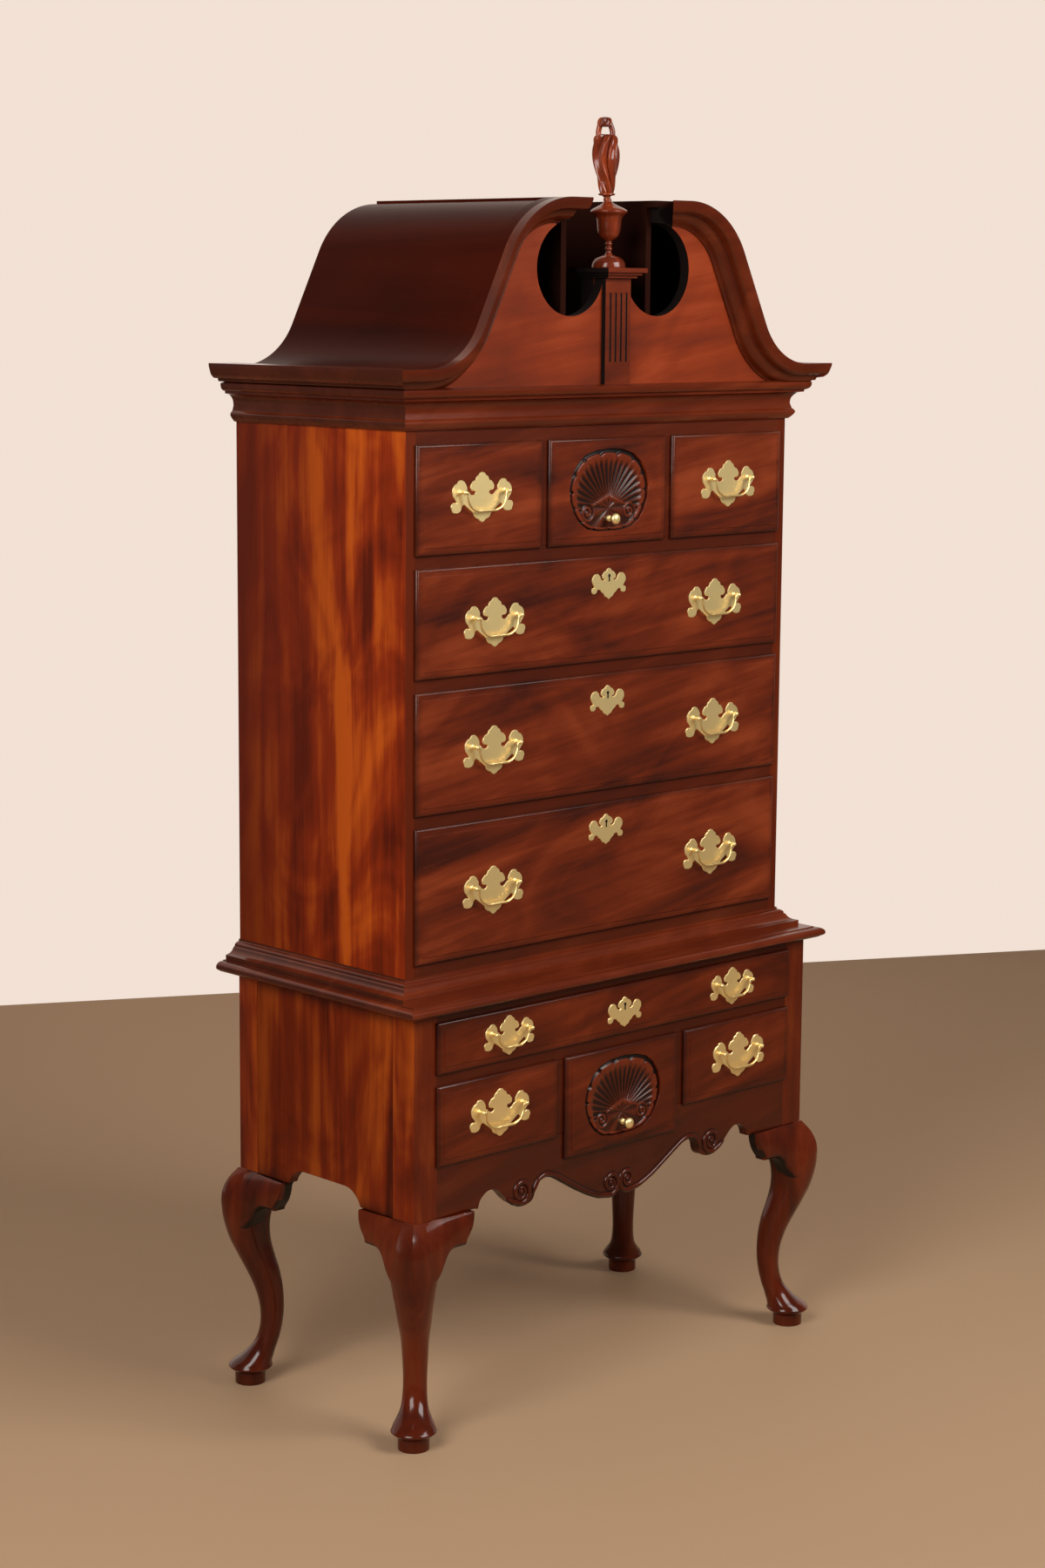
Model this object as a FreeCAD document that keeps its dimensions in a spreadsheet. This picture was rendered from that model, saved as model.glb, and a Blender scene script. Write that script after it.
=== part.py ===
import FreeCAD, Part

import math
import os
import re
from FreeCAD import Placement, Rotation, Vector

# A bonnet-top highboy: a chest of drawers that stands on a lower case with cabriole legs.
# Millimetres. X runs along the front, Y from front to back, Z up, and the feet stand on z = 0.
# Every piece is first laid out with y = 0 at the face of the upper chest. The Placement of each
# sub-part then carries it back by front_y, which centres the whole highboy front to back.

doc = FreeCAD.newDocument("highboy")
sheet = doc.addObject("Spreadsheet::Sheet", "Sizes")

SIZES = [
    # upper chest
    ("chest_width", 905), ("chest_depth", 431), ("side_thick", 22), ("board_thick", 20),
    ("back_thick", 8), ("low_margin", 51), ("low_drawer", 227), ("mid_drawer", 203),
    ("high_drawer", 180), ("top_drawer", 179), ("lip_gap", 20), ("top_gap", 16), ("frieze", 21),
    ("rail_depth", 60), ("runner_high", 18), ("runner_wide", 20),
    # lower case
    ("base_width", 956), ("base_inset", 27), ("base_step", 51), ("base_height", 732),
    ("post_side", 51), ("panel_thick", 20), ("base_top_margin", 12), ("base_long", 88),
    ("base_gap", 19), ("base_side_drawer", 136.5), ("base_middle_drawer", 178.5),
    ("side_arch", 28), ("apron_arch", 25), ("apron_lobe", 18), ("apron_drop", 44.5),
    # cabriole legs
    ("apron_high", 87.5), ("knee_reach", 32.5), ("leg_wide", 75), ("foot_radius", 38),
    ("foot_height", 34), ("pad_radius", 25.5), ("pad_height", 19), ("bracket_length", 83),
    ("bracket_drop", 48),
    # mouldings
    ("waist_thick", 23), ("waist_reach", 27), ("plinth_mould_high", 32), ("plinth_mould_reach", 31),
    ("bed_high", 68.5), ("bed_reach", 33), ("crown_high", 30.5), ("crown_reach", 57.5),
    # pediment and bonnet
    ("neck_rise", 274.5), ("neck_top_radius", 150), ("neck_foot_radius", 120), ("neck_slope", 64),
    ("neck_flat", 44.5), ("neck_wide", 41), ("gap_half", 94.5), ("pediment_stand", 14.5),
    ("hole_radius", 78), ("hole_spread", 102.5), ("hole_height", 190.5), ("roof_thick", 6),
    ("roof_drop", 5), ("cheek_thick", 12),
    # plinth and finial
    ("plinth_wide", 59.5), ("plinth_proud", 9), ("plinth_high", 175.5), ("cap_high", 16.5),
    ("cap_wide", 93), ("flute_radius", 3.2), ("flute_pitch", 12.6), ("finial_high", 247.5),
    ("finial_radius", 33), ("flame_high", 122), ("flame_radius", 22.5), ("flame_twist", 90),
    # drawers
    ("lip_lap", 3.5), ("drawer_play", 1), ("lip_clear", 0.3), ("lip_thick", 7), ("lip_round", 5),
    ("field_inset", 13), ("field_step", 1.5), ("tongue_thick", 15), ("box_side", 11),
    ("box_bottom", 6), ("box_clear", 12), ("running_gap", 0.5), ("shell_depth", 5.5),
    # brasses
    ("pull_centres", 99), ("small_centres", 82), ("plate_thick", 1.8), ("pivot_stand", 13),
    ("head_radius", 5.6), ("head_long", 9), ("pin_radius", 1.8),
    ("pin_play", 0.1), ("arm_clear", 0.3), ("bail_radius", 2.7), ("bail_drop", 33), ("knob_radius", 8.5),
    ("knob_stand", 25), ("lock_wide", 50), ("lock_high", 40), ("lock_thick", 8),
    ("escutcheon_wide", 82), ("escutcheon_down", 34), ("key_radius", 2.2), ("shank_radius", 2),
    ("shank_play", 0.25), ("nut_radius", 6), ("nut_thick", 3.5),
]
for row, (alias, value) in enumerate(SIZES, 1):
    sheet.set("A%d" % row, alias)
    sheet.set("B%d" % row, str(value))
    sheet.setAlias("B%d" % row, alias)
doc.recompute()

# Sizes that follow from the driving ones, as formulas over their names.
FORMULAS = {
    "half_chest": "chest_width / 2",
    "opening_half": "half_chest - side_thick",
    "chest_floor": "base_height + waist_thick",
    "low_z": "chest_floor + low_margin",
    "mid_z": "low_z + low_drawer + lip_gap",
    "high_z": "mid_z + mid_drawer + lip_gap",
    "top_z": "high_z + high_drawer + lip_gap",
    "bed_z": "top_z + top_drawer + frieze",
    "chest_top": "bed_z + bed_high",
    "crown_z": "chest_top + crown_high",
    "neck_z": "crown_z + neck_rise",
    "divider": "top_gap + 2 * lip_lap",
    "top_opening": "(2 * opening_half - 2 * divider) / 3",
    "half_base": "base_width / 2",
    "base_back": "chest_depth - base_inset",
    "base_depth": "base_back + base_step",
    "base_opening_half": "half_base - post_side",
    "base_divider": "base_gap + 2 * lip_lap",
    "base_opening": "(2 * base_opening_half - 2 * base_divider) / 3",
    "long_top": "base_height - base_top_margin",
    "long_z": "long_top - base_long",
    "side_top": "long_z - base_gap",
    "side_z": "side_top - base_side_drawer",
    "middle_z": "side_top - base_middle_drawer",
    "knee_height": "side_z - apron_high",
    "cap_z": "chest_top + plinth_high",
    "finial_z": "cap_z + cap_high",
    "board_back": "board_thick - pediment_stand",
    "face_stand": "lip_clear + lip_thick + field_step",
    "front_reach": "base_step + face_stand + knob_stand",
    "front_y": "(front_reach - chest_depth) / 2",
}
ALIASES = {alias for alias, _ in SIZES}


def formula(text):
    """Write out the derived names in a formula and point the rest at the spreadsheet."""

    def written(match):
        word = match.group()
        if word in FORMULAS:
            return "(" + formula(FORMULAS[word]) + ")"
        return "Sizes." + word if word in ALIASES else word

    return re.sub(r"[a-z_]+", written, str(text))


def size(text):
    """The number that a formula stands for, in millimetres or degrees."""
    return float(sheet.evalExpression(formula(text)))


# ---------------------------------------------------------------- bound primitives


def bind(item, **formulas):
    for name, text in formulas.items():
        item.setExpression(name.replace("__", ".Base."), formula(text))
    return item


def block(name, left, right, front, back, low, high):
    """A box between two planes on each axis, every one given by a formula."""
    item = doc.addObject("Part::Box", name)
    return bind(
        item,
        Length="(%s) - (%s)" % (right, left),
        Width="(%s) - (%s)" % (back, front),
        Height="(%s) - (%s)" % (high, low),
        Placement__x=left,
        Placement__y=front,
        Placement__z=low,
    )


def block_pair(name, inner, outer, front, back, low, high):
    """The same box on the right and, mirrored, on the left."""
    right = block(name + "_right", inner, outer, front, back, low, high)
    left = block(name + "_left", "-(%s)" % outer, "-(%s)" % inner, front, back, low, high)
    return [left, right]


def rod(name, radius, length, x, y, z, turn=None):
    """A round bar from (x, y, z) along +Z, or along -Y or +X when turned."""
    item = doc.addObject("Part::Cylinder", name)
    turns = {"front": Rotation(Vector(1, 0, 0), 90), "right": Rotation(Vector(0, 1, 0), 90)}
    if turn:
        item.Placement = Placement(Vector(0, 0, 0), turns[turn])
    return bind(item, Radius=radius, Height=length, Placement__x=x, Placement__y=y, Placement__z=z)


def cut(name, base, tool):
    item = doc.addObject("Part::Cut", name)
    item.Base, item.Tool = base, tool
    return item


def fuse(name, items):
    item = doc.addObject("Part::MultiFuse", name)
    item.Shapes = items
    return item


def compound(name, items):
    item = doc.addObject("Part::Compound", name)
    item.Links = items
    return item


NODES = []


def node(label, items):
    """One named sub-part: its pieces, each a solid of its own, set back to their place."""
    item = compound("Node_" + label, items)
    item.Label = label
    item.setExpression("Placement.Base.y", formula("front_y"))
    NODES.append(item)
    return item


def feature(name, shape):
    item = doc.addObject("Part::Feature", name)
    item.Shape = shape
    return item


# ---------------------------------------------------------------- outlines and profiles


def line(*points):
    """Straight edges through the points."""
    return [Part.LineSegment(a, b).toShape() for a, b in zip(points, points[1:])]


def arc(start, middle, end):
    return [Part.Arc(start, middle, end).toShape()]


def curve(points, closed=False):
    spline = Part.BSplineCurve()
    spline.interpolate(points, PeriodicFlag=closed)
    return [spline.toShape()]


def face(edges):
    return Part.Face(Part.Wire(Part.__sortEdges__(edges)))


def faceted(rings):
    """A solid of flat facets through closed rings of points, the same number in each ring."""
    faces = []
    for one, two in zip(rings, rings[1:]):
        for i in range(len(one)):
            a, b, c, d = one[i - 1], one[i], two[i], two[i - 1]
            faces += [Part.Face(Part.Wire(line(a, b, c, a))), Part.Face(Part.Wire(line(a, c, d, a)))]
    for ring in (rings[0], rings[-1]):
        faces.append(Part.Face(Part.Wire(line(*ring, ring[0]))))
    solid = Part.Solid(Part.makeShell(faces))
    if solid.Volume < 0:
        solid.reverse()
    return solid


def sketch_pad(name, edges, front, thick):
    """A board with a sketched outline in the XZ plane, padded from y = front towards the back."""
    body = doc.addObject("PartDesign::Body", name)
    sketch = body.newObject("Sketcher::SketchObject", name + "_outline")
    plane = [f for f in body.Origin.OriginFeatures if f.Role == "XZ_Plane"][0]
    sketch.AttachmentSupport = [(plane, "")]
    sketch.MapMode = "FlatFace"
    for edge in edges:
        flat = edge.copy()
        flat.rotate(Vector(0, 0, 0), Vector(1, 0, 0), -90)
        geometry = flat.Curve
        if isinstance(geometry, (Part.Line, Part.Circle)):
            kind = Part.LineSegment if isinstance(geometry, Part.Line) else Part.ArcOfCircle
            if kind is Part.LineSegment:
                geometry = kind(flat.Vertexes[0].Point, flat.Vertexes[-1].Point)
            else:
                geometry = kind(geometry, *flat.ParameterRange)
        sketch.addGeometry(geometry, False)
    pad = body.newObject("PartDesign::Pad", name + "_pad")
    pad.Profile = sketch
    pad.Reversed = True
    pad.setExpression("Length", formula(thick))
    body.Tip = pad
    body.setExpression("Placement.Base.y", formula(front))
    return body


def profile_face(rows):
    """A moulding profile in the YZ plane from rows of (reach, height) with optional bulge.

    A row with a third value is reached by an arc, whose middle stands that far off the chord."""
    points = [Vector(0, -row[0], row[1]) for row in rows]
    edges = []
    for start, end, row in zip(points, points[1:], rows[1:]):
        if len(row) == 2:
            edges += line(start, end)
            continue
        chord = end - start
        middle = (start + end) * 0.5 + Vector(0, -chord.z, chord.y).normalize() * row[2]
        edges += arc(start, middle, end)
    edges += line(points[-1], points[0])
    return Part.Face(Part.Wire(edges))


def plan_prism(corners, low, high):
    """An upright prism over plan corners (x, y), which cuts a moulding to its mitres."""
    points = [Vector(x, y, low) for x, y in corners]
    return Part.Face(Part.Wire(line(*points, points[0]))).extrude(Vector(0, 0, high - low))


def mitred_set(profile, half, front, back, reach, inset, low, high, with_front=True):
    """Moulding round the front and both sides of a case, mitred at the two front corners.

    half is the case's half width, front and back its faces in Y."""
    run = profile.copy()
    run.translate(Vector(-half - reach - 1, front, 0))
    run = run.extrude(Vector(2 * (half + reach + 1), 0, 0))
    far, near = reach + 1, inset
    pieces = []
    if with_front:
        plan = [(-half - far, front - far), (half + far, front - far),
                (half - near, front + near), (-half + near, front + near)]
        pieces.append(run.common(plan_prism(plan, low, high)))
    side = profile.copy()
    side.rotate(Vector(0, 0, 0), Vector(0, 0, 1), -90)
    side.translate(Vector(-half, front - far, 0))
    side = side.extrude(Vector(0, back - front + far, 0))
    plan = [(-half - far, front - far), (-half + near, front + near),
            (-half + near, back), (-half - far, back)]
    left = side.common(plan_prism(plan, low, high))
    pieces += [left, left.mirror(Vector(0, 0, 0), Vector(1, 0, 0))]
    return pieces


# ---------------------------------------------------------------- cabriole legs

# Rows of a leg from knee to foot: height as a share of the knee height, then outer face, inner
# face and half width as shares of the leg's width, with the two faces measured along the diagonal
# from the corner of the post. The last number is the squareness: 1 a diamond, 2 a circle.
LEG_ROWS = [
    (0.925, 0.33, -0.91, 0.49, 1.15), (0.840, 0.433, -0.80, 0.50, 1.3), (0.762, 0.39, -0.60, 0.49, 1.45),
    (0.684, 0.27, -0.655, 0.45, 1.6), (0.568, -0.02, -0.84, 0.385, 1.75), (0.455, -0.31, -0.985, 0.32, 1.9),
    (0.350, -0.45, -1.01, 0.285, 2), (0.252, -0.425, -0.945, 0.285, 2), (0.180, -0.22, -0.83, 0.33, 2),
]


def leg_stations():
    knee, wide = size("knee_height"), size("leg_wide")
    post = size("post_side") * math.sqrt(2)
    foot, radius = size("foot_height"), size("foot_radius")
    pad, pad_radius = size("pad_height"), size("pad_radius")
    centre = -foot_centre()
    rows = [(knee, 0, -post, post / 2, 1.02)]
    rows += [(knee * up, wide * out, wide * back, wide * half, power)
             for up, out, back, half, power in LEG_ROWS]
    foot_rows = [(1.45, 0.53, -1.04, 0.84), (1.2, 0.78, -1.0, 0.93), (1, 0.94, -1.0, 0.98),
                 (0.85, 0.97, -0.98, 1.0), (0.7, 0.82, -0.86, 0.83)]
    rows += [(foot * up, centre + radius * out, centre + radius * back, radius * half, 2)
             for up, out, back, half in foot_rows]
    rows.append((pad, centre + pad_radius + 1.5, centre - pad_radius - 1.5, pad_radius + 1.5, 2))
    return rows


def foot_centre():
    """How far inside the post's corner, along the diagonal, the foot is centred."""
    return 0.32 * size("post_side")


def station_ring(height, outer, inner, half, power):
    """A closed twelve-sided section across the leg's diagonal, which runs along (1, -1)."""
    middle, reach = (outer + inner) / 2, (outer - inner) / 2
    points = []
    for step in range(12):
        turn = math.radians(30 * step)
        along, across = math.cos(turn), math.sin(turn)
        grown = (abs(along) ** power + abs(across) ** power) ** (-1 / power)
        s, t = middle + reach * along * grown, half * across * grown
        root = math.sqrt(0.5)
        points.append(Vector((s + t) * root, (t - s) * root, height))
    return points


def leg():
    """The front right leg, with the outer corner of its post on the Z axis."""
    post, knee, high = size("post_side"), size("knee_height"), size("base_height")
    stations = leg_stations()
    shaped = faceted([station_ring(*s) for s in stations])
    centre = -foot_centre() * math.sqrt(0.5)
    pad = Part.makeCylinder(size("pad_radius"), size("pad_height"), Vector(centre, -centre, 0))
    upright = Part.makeBox(post, post, high - knee, Vector(-post, 0, knee))
    return upright.fuse([shaped, pad]).removeSplitter()


def bracket(leg_shape):
    """The knee bracket under the front, beside the front right leg."""
    post, knee = size("post_side"), size("knee_height")
    length, drop, reach = size("bracket_length"), size("bracket_drop"), size("knee_reach")
    tip, start, back = post + length, 0.73 * post, 0.62 * post
    low = knee - 1.75 * drop

    def at(distance, height):
        return Vector(-distance, 0, height)

    outline = line(at(start, low), at(start, knee), at(tip, knee))
    lip, notch = at(tip - 0.2 * length, knee - 0.8 * drop), at(tip - 0.22 * length, knee - drop)
    lobe, foot = at(tip - 0.46 * length, knee - drop), at(post + 0.1 * length, low)
    outline += arc(at(tip, knee), at(tip - 0.05 * length, knee - 0.46 * drop), lip)
    outline += line(lip, notch, lobe)
    outline += arc(lobe, at(post + 0.25 * length, knee - 1.32 * drop), foot)
    outline += line(foot, at(start, low))
    slab = Part.Face(Part.Wire(outline))
    slab.translate(Vector(0, -reach, 0))
    slab = slab.extrude(Vector(0, reach + back, 0))

    def swell(distance, bulge):
        """A section across the bracket: it swells from the case's face down to its lower edge."""
        rows = [(0, knee), (0.72 * bulge, knee - 0.35 * drop), (bulge, knee - drop), (0.7 * bulge, low - 1)]
        points = [Vector(-distance, -out, high) for out, high in rows]
        return points + [Vector(-distance, back, low - 1), Vector(-distance, back, knee)]

    bulge = faceted([swell(0.61 * post, 0.74 * reach), swell(tip + 1, 0.22 * reach)])
    glue = leg_shape.copy()
    glue.translate(Vector(-0.2, 0, 0))
    return slab.common(bulge).cut([leg_shape, glue])


def four_corners(shapes):
    """The front right pieces, and the same turned to the other three corners."""
    half, front, back = size("half_base"), -size("base_step"), size("base_back")
    corners = [(half, front, 0), (half, back, 90), (-half, back, 180), (-half, front, 270)]
    pieces = []
    for x, y, turn in corners:
        for shape in shapes:
            piece = shape.copy()
            piece.rotate(Vector(0, 0, 0), Vector(0, 0, 1), turn)
            piece.translate(Vector(x, y, 0))
            pieces.append(piece)
    return pieces


def build_legs():
    front_right = leg()
    node("cabriole_legs", [feature("Leg%d" % i, s) for i, s in enumerate(four_corners([front_right]), 1)])
    under_front = bracket(front_right)
    diagonal = Vector(0, 0, 0), Vector(1, 1, 0)
    under_side = bracket(front_right.mirror(*diagonal)).mirror(*diagonal)
    pieces = four_corners([under_front, under_side])
    node("knee_brackets", [feature("Bracket%d" % i, s) for i, s in enumerate(pieces, 1)])


# ---------------------------------------------------------------- lower case


def side_outline():
    """Outline of a base side panel in its own XZ plane, x being the distance behind the front post."""
    low, high, arch = size("knee_height"), size("base_height"), size("side_arch")
    post, span = size("post_side"), size("base_depth - 2 * post_side")
    foot = size("bracket_length")

    def at(x, z):
        return Vector(x, 0, z)

    edges = line(at(foot, low), at(0, low), at(0, high), at(span, high), at(span, low), at(span - foot, low))
    for side in (0, 1):
        start, middle, end = [at(abs(side * span - foot - x * arch), low + z * arch)
                              for x, z in ((0, 0), (0.5, 0.68), (1.5, 1))]
        edges += arc(start, middle, end)
    edges += line(at(foot + 1.5 * arch, low + arch), at(span - foot - 1.5 * arch, low + arch))
    return edges


def apron_outline():
    """Outline of the front apron, symmetrical about x = 0."""
    low, half = size("knee_height"), size("base_opening_half")
    arch, lobe, drop = size("apron_arch"), size("apron_lobe"), size("apron_drop")
    top, notch_z, notch = size("side_z + lip_lap"), size("middle_z + lip_lap"), size("base_opening / 2")
    reach = half - size("bracket_length")

    def at(share, z, side):
        return Vector(side * share * reach, 0, z)

    edges = []
    for side in (-1, 1):
        outer = [(0.99, low), (0.97, low + 0.48 * arch), (0.905, low + arch), (0.84, low + 0.64 * arch),
                 (0.75, low - 0.7 * lobe), (0.68, low - lobe), (0.63, low - 0.8 * lobe), (0.605, low - 0.28 * lobe)]
        inner = [(0.605, low - 0.28 * lobe), (0.60, low + 0.2 * arch), (0.57, low + 0.64 * arch),
                 (0.52, low + 0.94 * arch), (0.47, low + 0.76 * arch), (0.335, low - 0.11 * drop),
                 (0.18, low - 0.82 * drop), (0.09, low - drop), (0.035, low - 0.9 * drop), (0, low - 0.8 * drop)]
        edges += curve([at(x, z, side) for x, z in outer])
        edges += curve([at(x, z, side) for x, z in inner])
        edges += line(at(0.99, low, side), Vector(side * half, 0, low), Vector(side * half, 0, top),
                      Vector(side * notch, 0, top), Vector(side * notch, 0, notch_z))
    edges += line(Vector(-notch, 0, notch_z), Vector(notch, 0, notch_z))
    return edges


def build_lower_case():
    front = "-base_step"
    panels = []
    for side, turn in ((-1, 90), (1, 90)):
        panel = sketch_pad("Side_panel_%s" % ("left" if side < 0 else "right"), side_outline(),
                           "0", "panel_thick")
        panel.setExpression("Placement.Base.y", formula("post_side - base_step"))
        panel.Placement = Placement(Vector(0, 0, 0), Rotation(Vector(0, 0, 1), turn))
        out = "half_base" if side > 0 else "panel_thick - half_base"
        panel.setExpression("Placement.Base.x", formula(out))
        panel.setExpression("Placement.Base.y", formula("post_side - base_step"))
        panels.append(panel)
    back = block("Base_back", "-base_opening_half", "base_opening_half",
                 "base_back - panel_thick", "base_back", "side_z - 40", "base_height")
    node("base_panels", panels + [back])
    node("apron", [sketch_pad("Apron_board", apron_outline(), front, "board_thick")])

    rail_back = "rail_depth - base_step"
    low_top = "side_top - lip_lap"
    rails = [
        block("Base_top_rail", "-base_opening_half", "base_opening_half", front, rail_back,
              "long_top - lip_lap", "base_height"),
        block("Base_middle_rail", "-base_opening_half", "base_opening_half", front, rail_back,
              low_top, "long_z + lip_lap"),
    ]
    inner = "base_opening / 2"
    rails += block_pair("Base_divider", inner, inner + " + base_divider", front, rail_back,
                        "side_z + lip_lap", low_top)
    node("base_rails", rails)

    behind, stop = rail_back, "base_back - panel_thick"
    posts_in, posts_out = "post_side - base_step", "base_back - post_side"
    runners = []
    for name, top, start in (("Long_runner", "long_z + lip_lap", behind),
                             ("Side_runner", "side_z + lip_lap", posts_in)):
        runners += block_pair(name, "base_opening_half - runner_wide", "half_base - panel_thick",
                              start, posts_out, top + " - runner_high", top)
    wall = [inner, inner + " + base_divider"]
    runners += block_pair("Divider_wall", wall[0], wall[1], behind, stop,
                          "middle_z + lip_lap - runner_high", low_top)
    runners += block_pair("Outer_strip", wall[1], wall[1] + " + runner_wide", "board_thick - base_step",
                          stop, "side_z + lip_lap - runner_high", "side_z + lip_lap")
    runners += block_pair("Inner_strip", inner + " - runner_wide", wall[0], "board_thick - base_step",
                          stop, "middle_z + lip_lap - runner_high", "middle_z + lip_lap")
    return runners


def build_waist():
    low, high = size("base_height"), size("chest_floor")
    thick, reach, post = high - low, size("waist_reach"), size("post_side")
    profile = profile_face([
        (-post, low), (2, low), (0.78 * reach, low + 0.26 * thick, -1.5),
        (0.74 * reach, low + 0.82 * thick, 5), (0.48 * reach, low + 0.88 * thick),
        (0.45 * reach, high), (-post, high)])
    pieces = mitred_set(profile, size("half_base"), -size("base_step"), size("chest_depth"),
                        reach, post, low, high)
    items = [feature("Waist_length_%d" % i, s) for i, s in enumerate(pieces, 1)]
    items.append(block("Waist_back_rail", "-base_opening_half", "base_opening_half",
                       "chest_depth - post_side", "chest_depth", "base_height", "chest_floor"))
    node("waist_moulding", items)


# ---------------------------------------------------------------- upper chest


def build_chest():
    inside = "chest_depth - back_thick"
    carcase = block_pair("Chest_side", "opening_half", "half_chest", "0", "chest_depth",
                         "chest_floor", "chest_top")
    carcase.append(block("Chest_bottom", "-opening_half", "opening_half", "board_thick", inside,
                         "chest_floor", "chest_floor + board_thick"))
    carcase.append(block("Chest_top", "-opening_half", "opening_half", "board_thick", inside,
                         "chest_top - board_thick", "chest_top"))
    node("chest_carcase", carcase)
    node("chest_back", [block("Chest_back_board", "-opening_half", "opening_half", inside,
                              "chest_depth", "chest_floor", "chest_top")])

    rails = [block("Bottom_rail", "-opening_half", "opening_half", "0", "board_thick",
                   "chest_floor", "low_z + lip_lap")]
    tops = {"Low": "mid_z", "Mid": "high_z", "High": "top_z"}
    for name, above in tops.items():
        rails.append(block(name + "_rail", "-opening_half", "opening_half", "0", "rail_depth",
                           above + " - lip_gap - lip_lap", above + " + lip_lap"))
    rails.append(block("Frieze_rail", "-opening_half", "opening_half", "0", "board_thick",
                       "top_z + top_drawer - lip_lap", "chest_top"))
    inner = "top_opening / 2"
    rails += block_pair("Top_divider", inner, inner + " + divider", "0", "rail_depth",
                        "top_z + lip_lap", "top_z + top_drawer - lip_lap")
    node("chest_rails", rails)

    runners = []
    for name, level in (("Low", "low_z"), ("Mid", "mid_z"), ("High", "high_z"), ("Top", "top_z")):
        start = "board_thick" if name == "Low" else "rail_depth"
        top = level + " + lip_lap"
        runners += block_pair(name + "_runner", "opening_half - runner_wide", "opening_half",
                              start, inside, top + " - runner_high", top)
    top = "top_z + lip_lap"
    runners += block_pair("Top_inner_runner", inner + " - runner_wide", inner + " + divider + runner_wide",
                          "rail_depth", inside, top + " - runner_high", top)
    runners += block_pair("Top_guide", inner, inner + " + divider", "rail_depth", inside,
                          top, top + " + 2 * runner_high")
    return runners


def build_chest_base_moulding():
    low, tall, reach = size("chest_floor"), size("plinth_mould_high"), size("plinth_mould_reach")
    profile = profile_face([
        (0, low), (reach, low), (reach, low + 0.3 * tall), (0.9 * reach, low + 0.36 * tall),
        (0.45 * reach, low + 0.66 * tall, 2), (0.38 * reach, low + 0.7 * tall),
        (0.1 * reach, low + 0.96 * tall, -2), (0.1 * reach, low + tall), (0, low + tall)])
    pieces = mitred_set(profile, size("half_chest"), 0, size("chest_depth"), reach, 0, low, low + tall)
    node("chest_base_moulding", [feature("Base_mould_%d" % i, s) for i, s in enumerate(pieces, 1)])


# ---------------------------------------------------------------- cornice, pediment and bonnet


def crown_rows(stand):
    """Crown profile as (reach, drop below the top edge), down to its inner edge at the board."""
    reach, wide = size("crown_reach"), size("neck_wide")
    return [(stand, 0), (reach, 0), (reach, 0.085 * wide), (0.96 * reach, 0.30 * wide),
            (0.80 * reach, 0.60 * wide), (0.69 * reach, 0.63 * wide),
            (0.56 * reach, 0.88 * wide), (stand, wide)]


def neck_centres():
    """Centres of the upper and the lower arc of the right neck, and where its curve ends."""
    slope = math.radians(size("neck_slope"))
    upper, lower = size("neck_top_radius"), size("neck_foot_radius")
    drop = size("neck_rise") - (upper + lower) * (1 - math.cos(slope))
    start = size("gap_half + neck_flat")
    foot = start + (upper + lower) * math.sin(slope) + drop / math.tan(slope)
    return Vector(start, 0, size("neck_z") - upper), Vector(foot, 0, size("crown_z") + lower), slope


def neck_curve(inset, end_x, start_x=None):
    """Edges of the right neck's line, inset below its top edge, from the gap to end_x."""
    high, low, slope = neck_centres()
    upper, lower = size("neck_top_radius") - inset, size("neck_foot_radius") + inset
    out, mid = Vector(math.sin(slope), 0, math.cos(slope)), Vector(math.sin(slope / 2), 0, math.cos(slope / 2))
    top = Vector(high.x, 0, high.z + upper)
    foot = Vector(low.x, 0, low.z - lower)
    begin = size("gap_half") if start_x is None else start_x
    edges = line(Vector(begin, 0, top.z), top)
    edges += arc(top, high + mid * upper, high + out * upper)
    edges += line(high + out * upper, low - out * lower)
    edges += arc(low - out * lower, low - mid * lower, foot)
    edges += line(foot, Vector(end_x, 0, foot.z))
    return edges


def neck_moulding():
    """The right swan neck: the crown profile carried along the flat, both arcs and the slope."""
    rows = crown_rows(size("pediment_stand"))
    high, low, slope = neck_centres()
    top_z, foot_z = size("neck_z"), size("crown_z")
    degrees = math.degrees(slope)
    profile = profile_face([(reach, -drop) + tuple(more) for reach, drop, *more in rows])
    start, end = size("gap_half"), size("half_chest + crown_reach") + 5

    def placed(x, z):
        copy = profile.copy()
        copy.translate(Vector(x, 0, z))
        return copy

    flat = placed(start, top_z).extrude(Vector(high.x - start, 0, 0))
    bend = placed(high.x, top_z).revolve(high, Vector(0, 1, 0), degrees)
    tilted = placed(high.x, top_z)
    tilted.rotate(high, Vector(0, 1, 0), degrees)
    span = (low - high) - Vector(math.sin(slope), 0, math.cos(slope)) * size("neck_top_radius + neck_foot_radius")
    run = tilted.extrude(span)
    tilted.translate(span)
    sweep = tilted.revolve(low, Vector(0, 1, 0), -degrees)
    foot = placed(low.x, foot_z).extrude(Vector(end - low.x, 0, 0))
    neck = flat.fuse([bend, run, sweep, foot])
    half, reach = size("half_chest"), size("crown_reach")
    keep = plan_prism([(0, -reach - 1), (half + reach + 1, -reach - 1), (half, 0), (0, 0)],
                      size("chest_top"), top_z + 1)
    return neck.common(keep)


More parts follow.
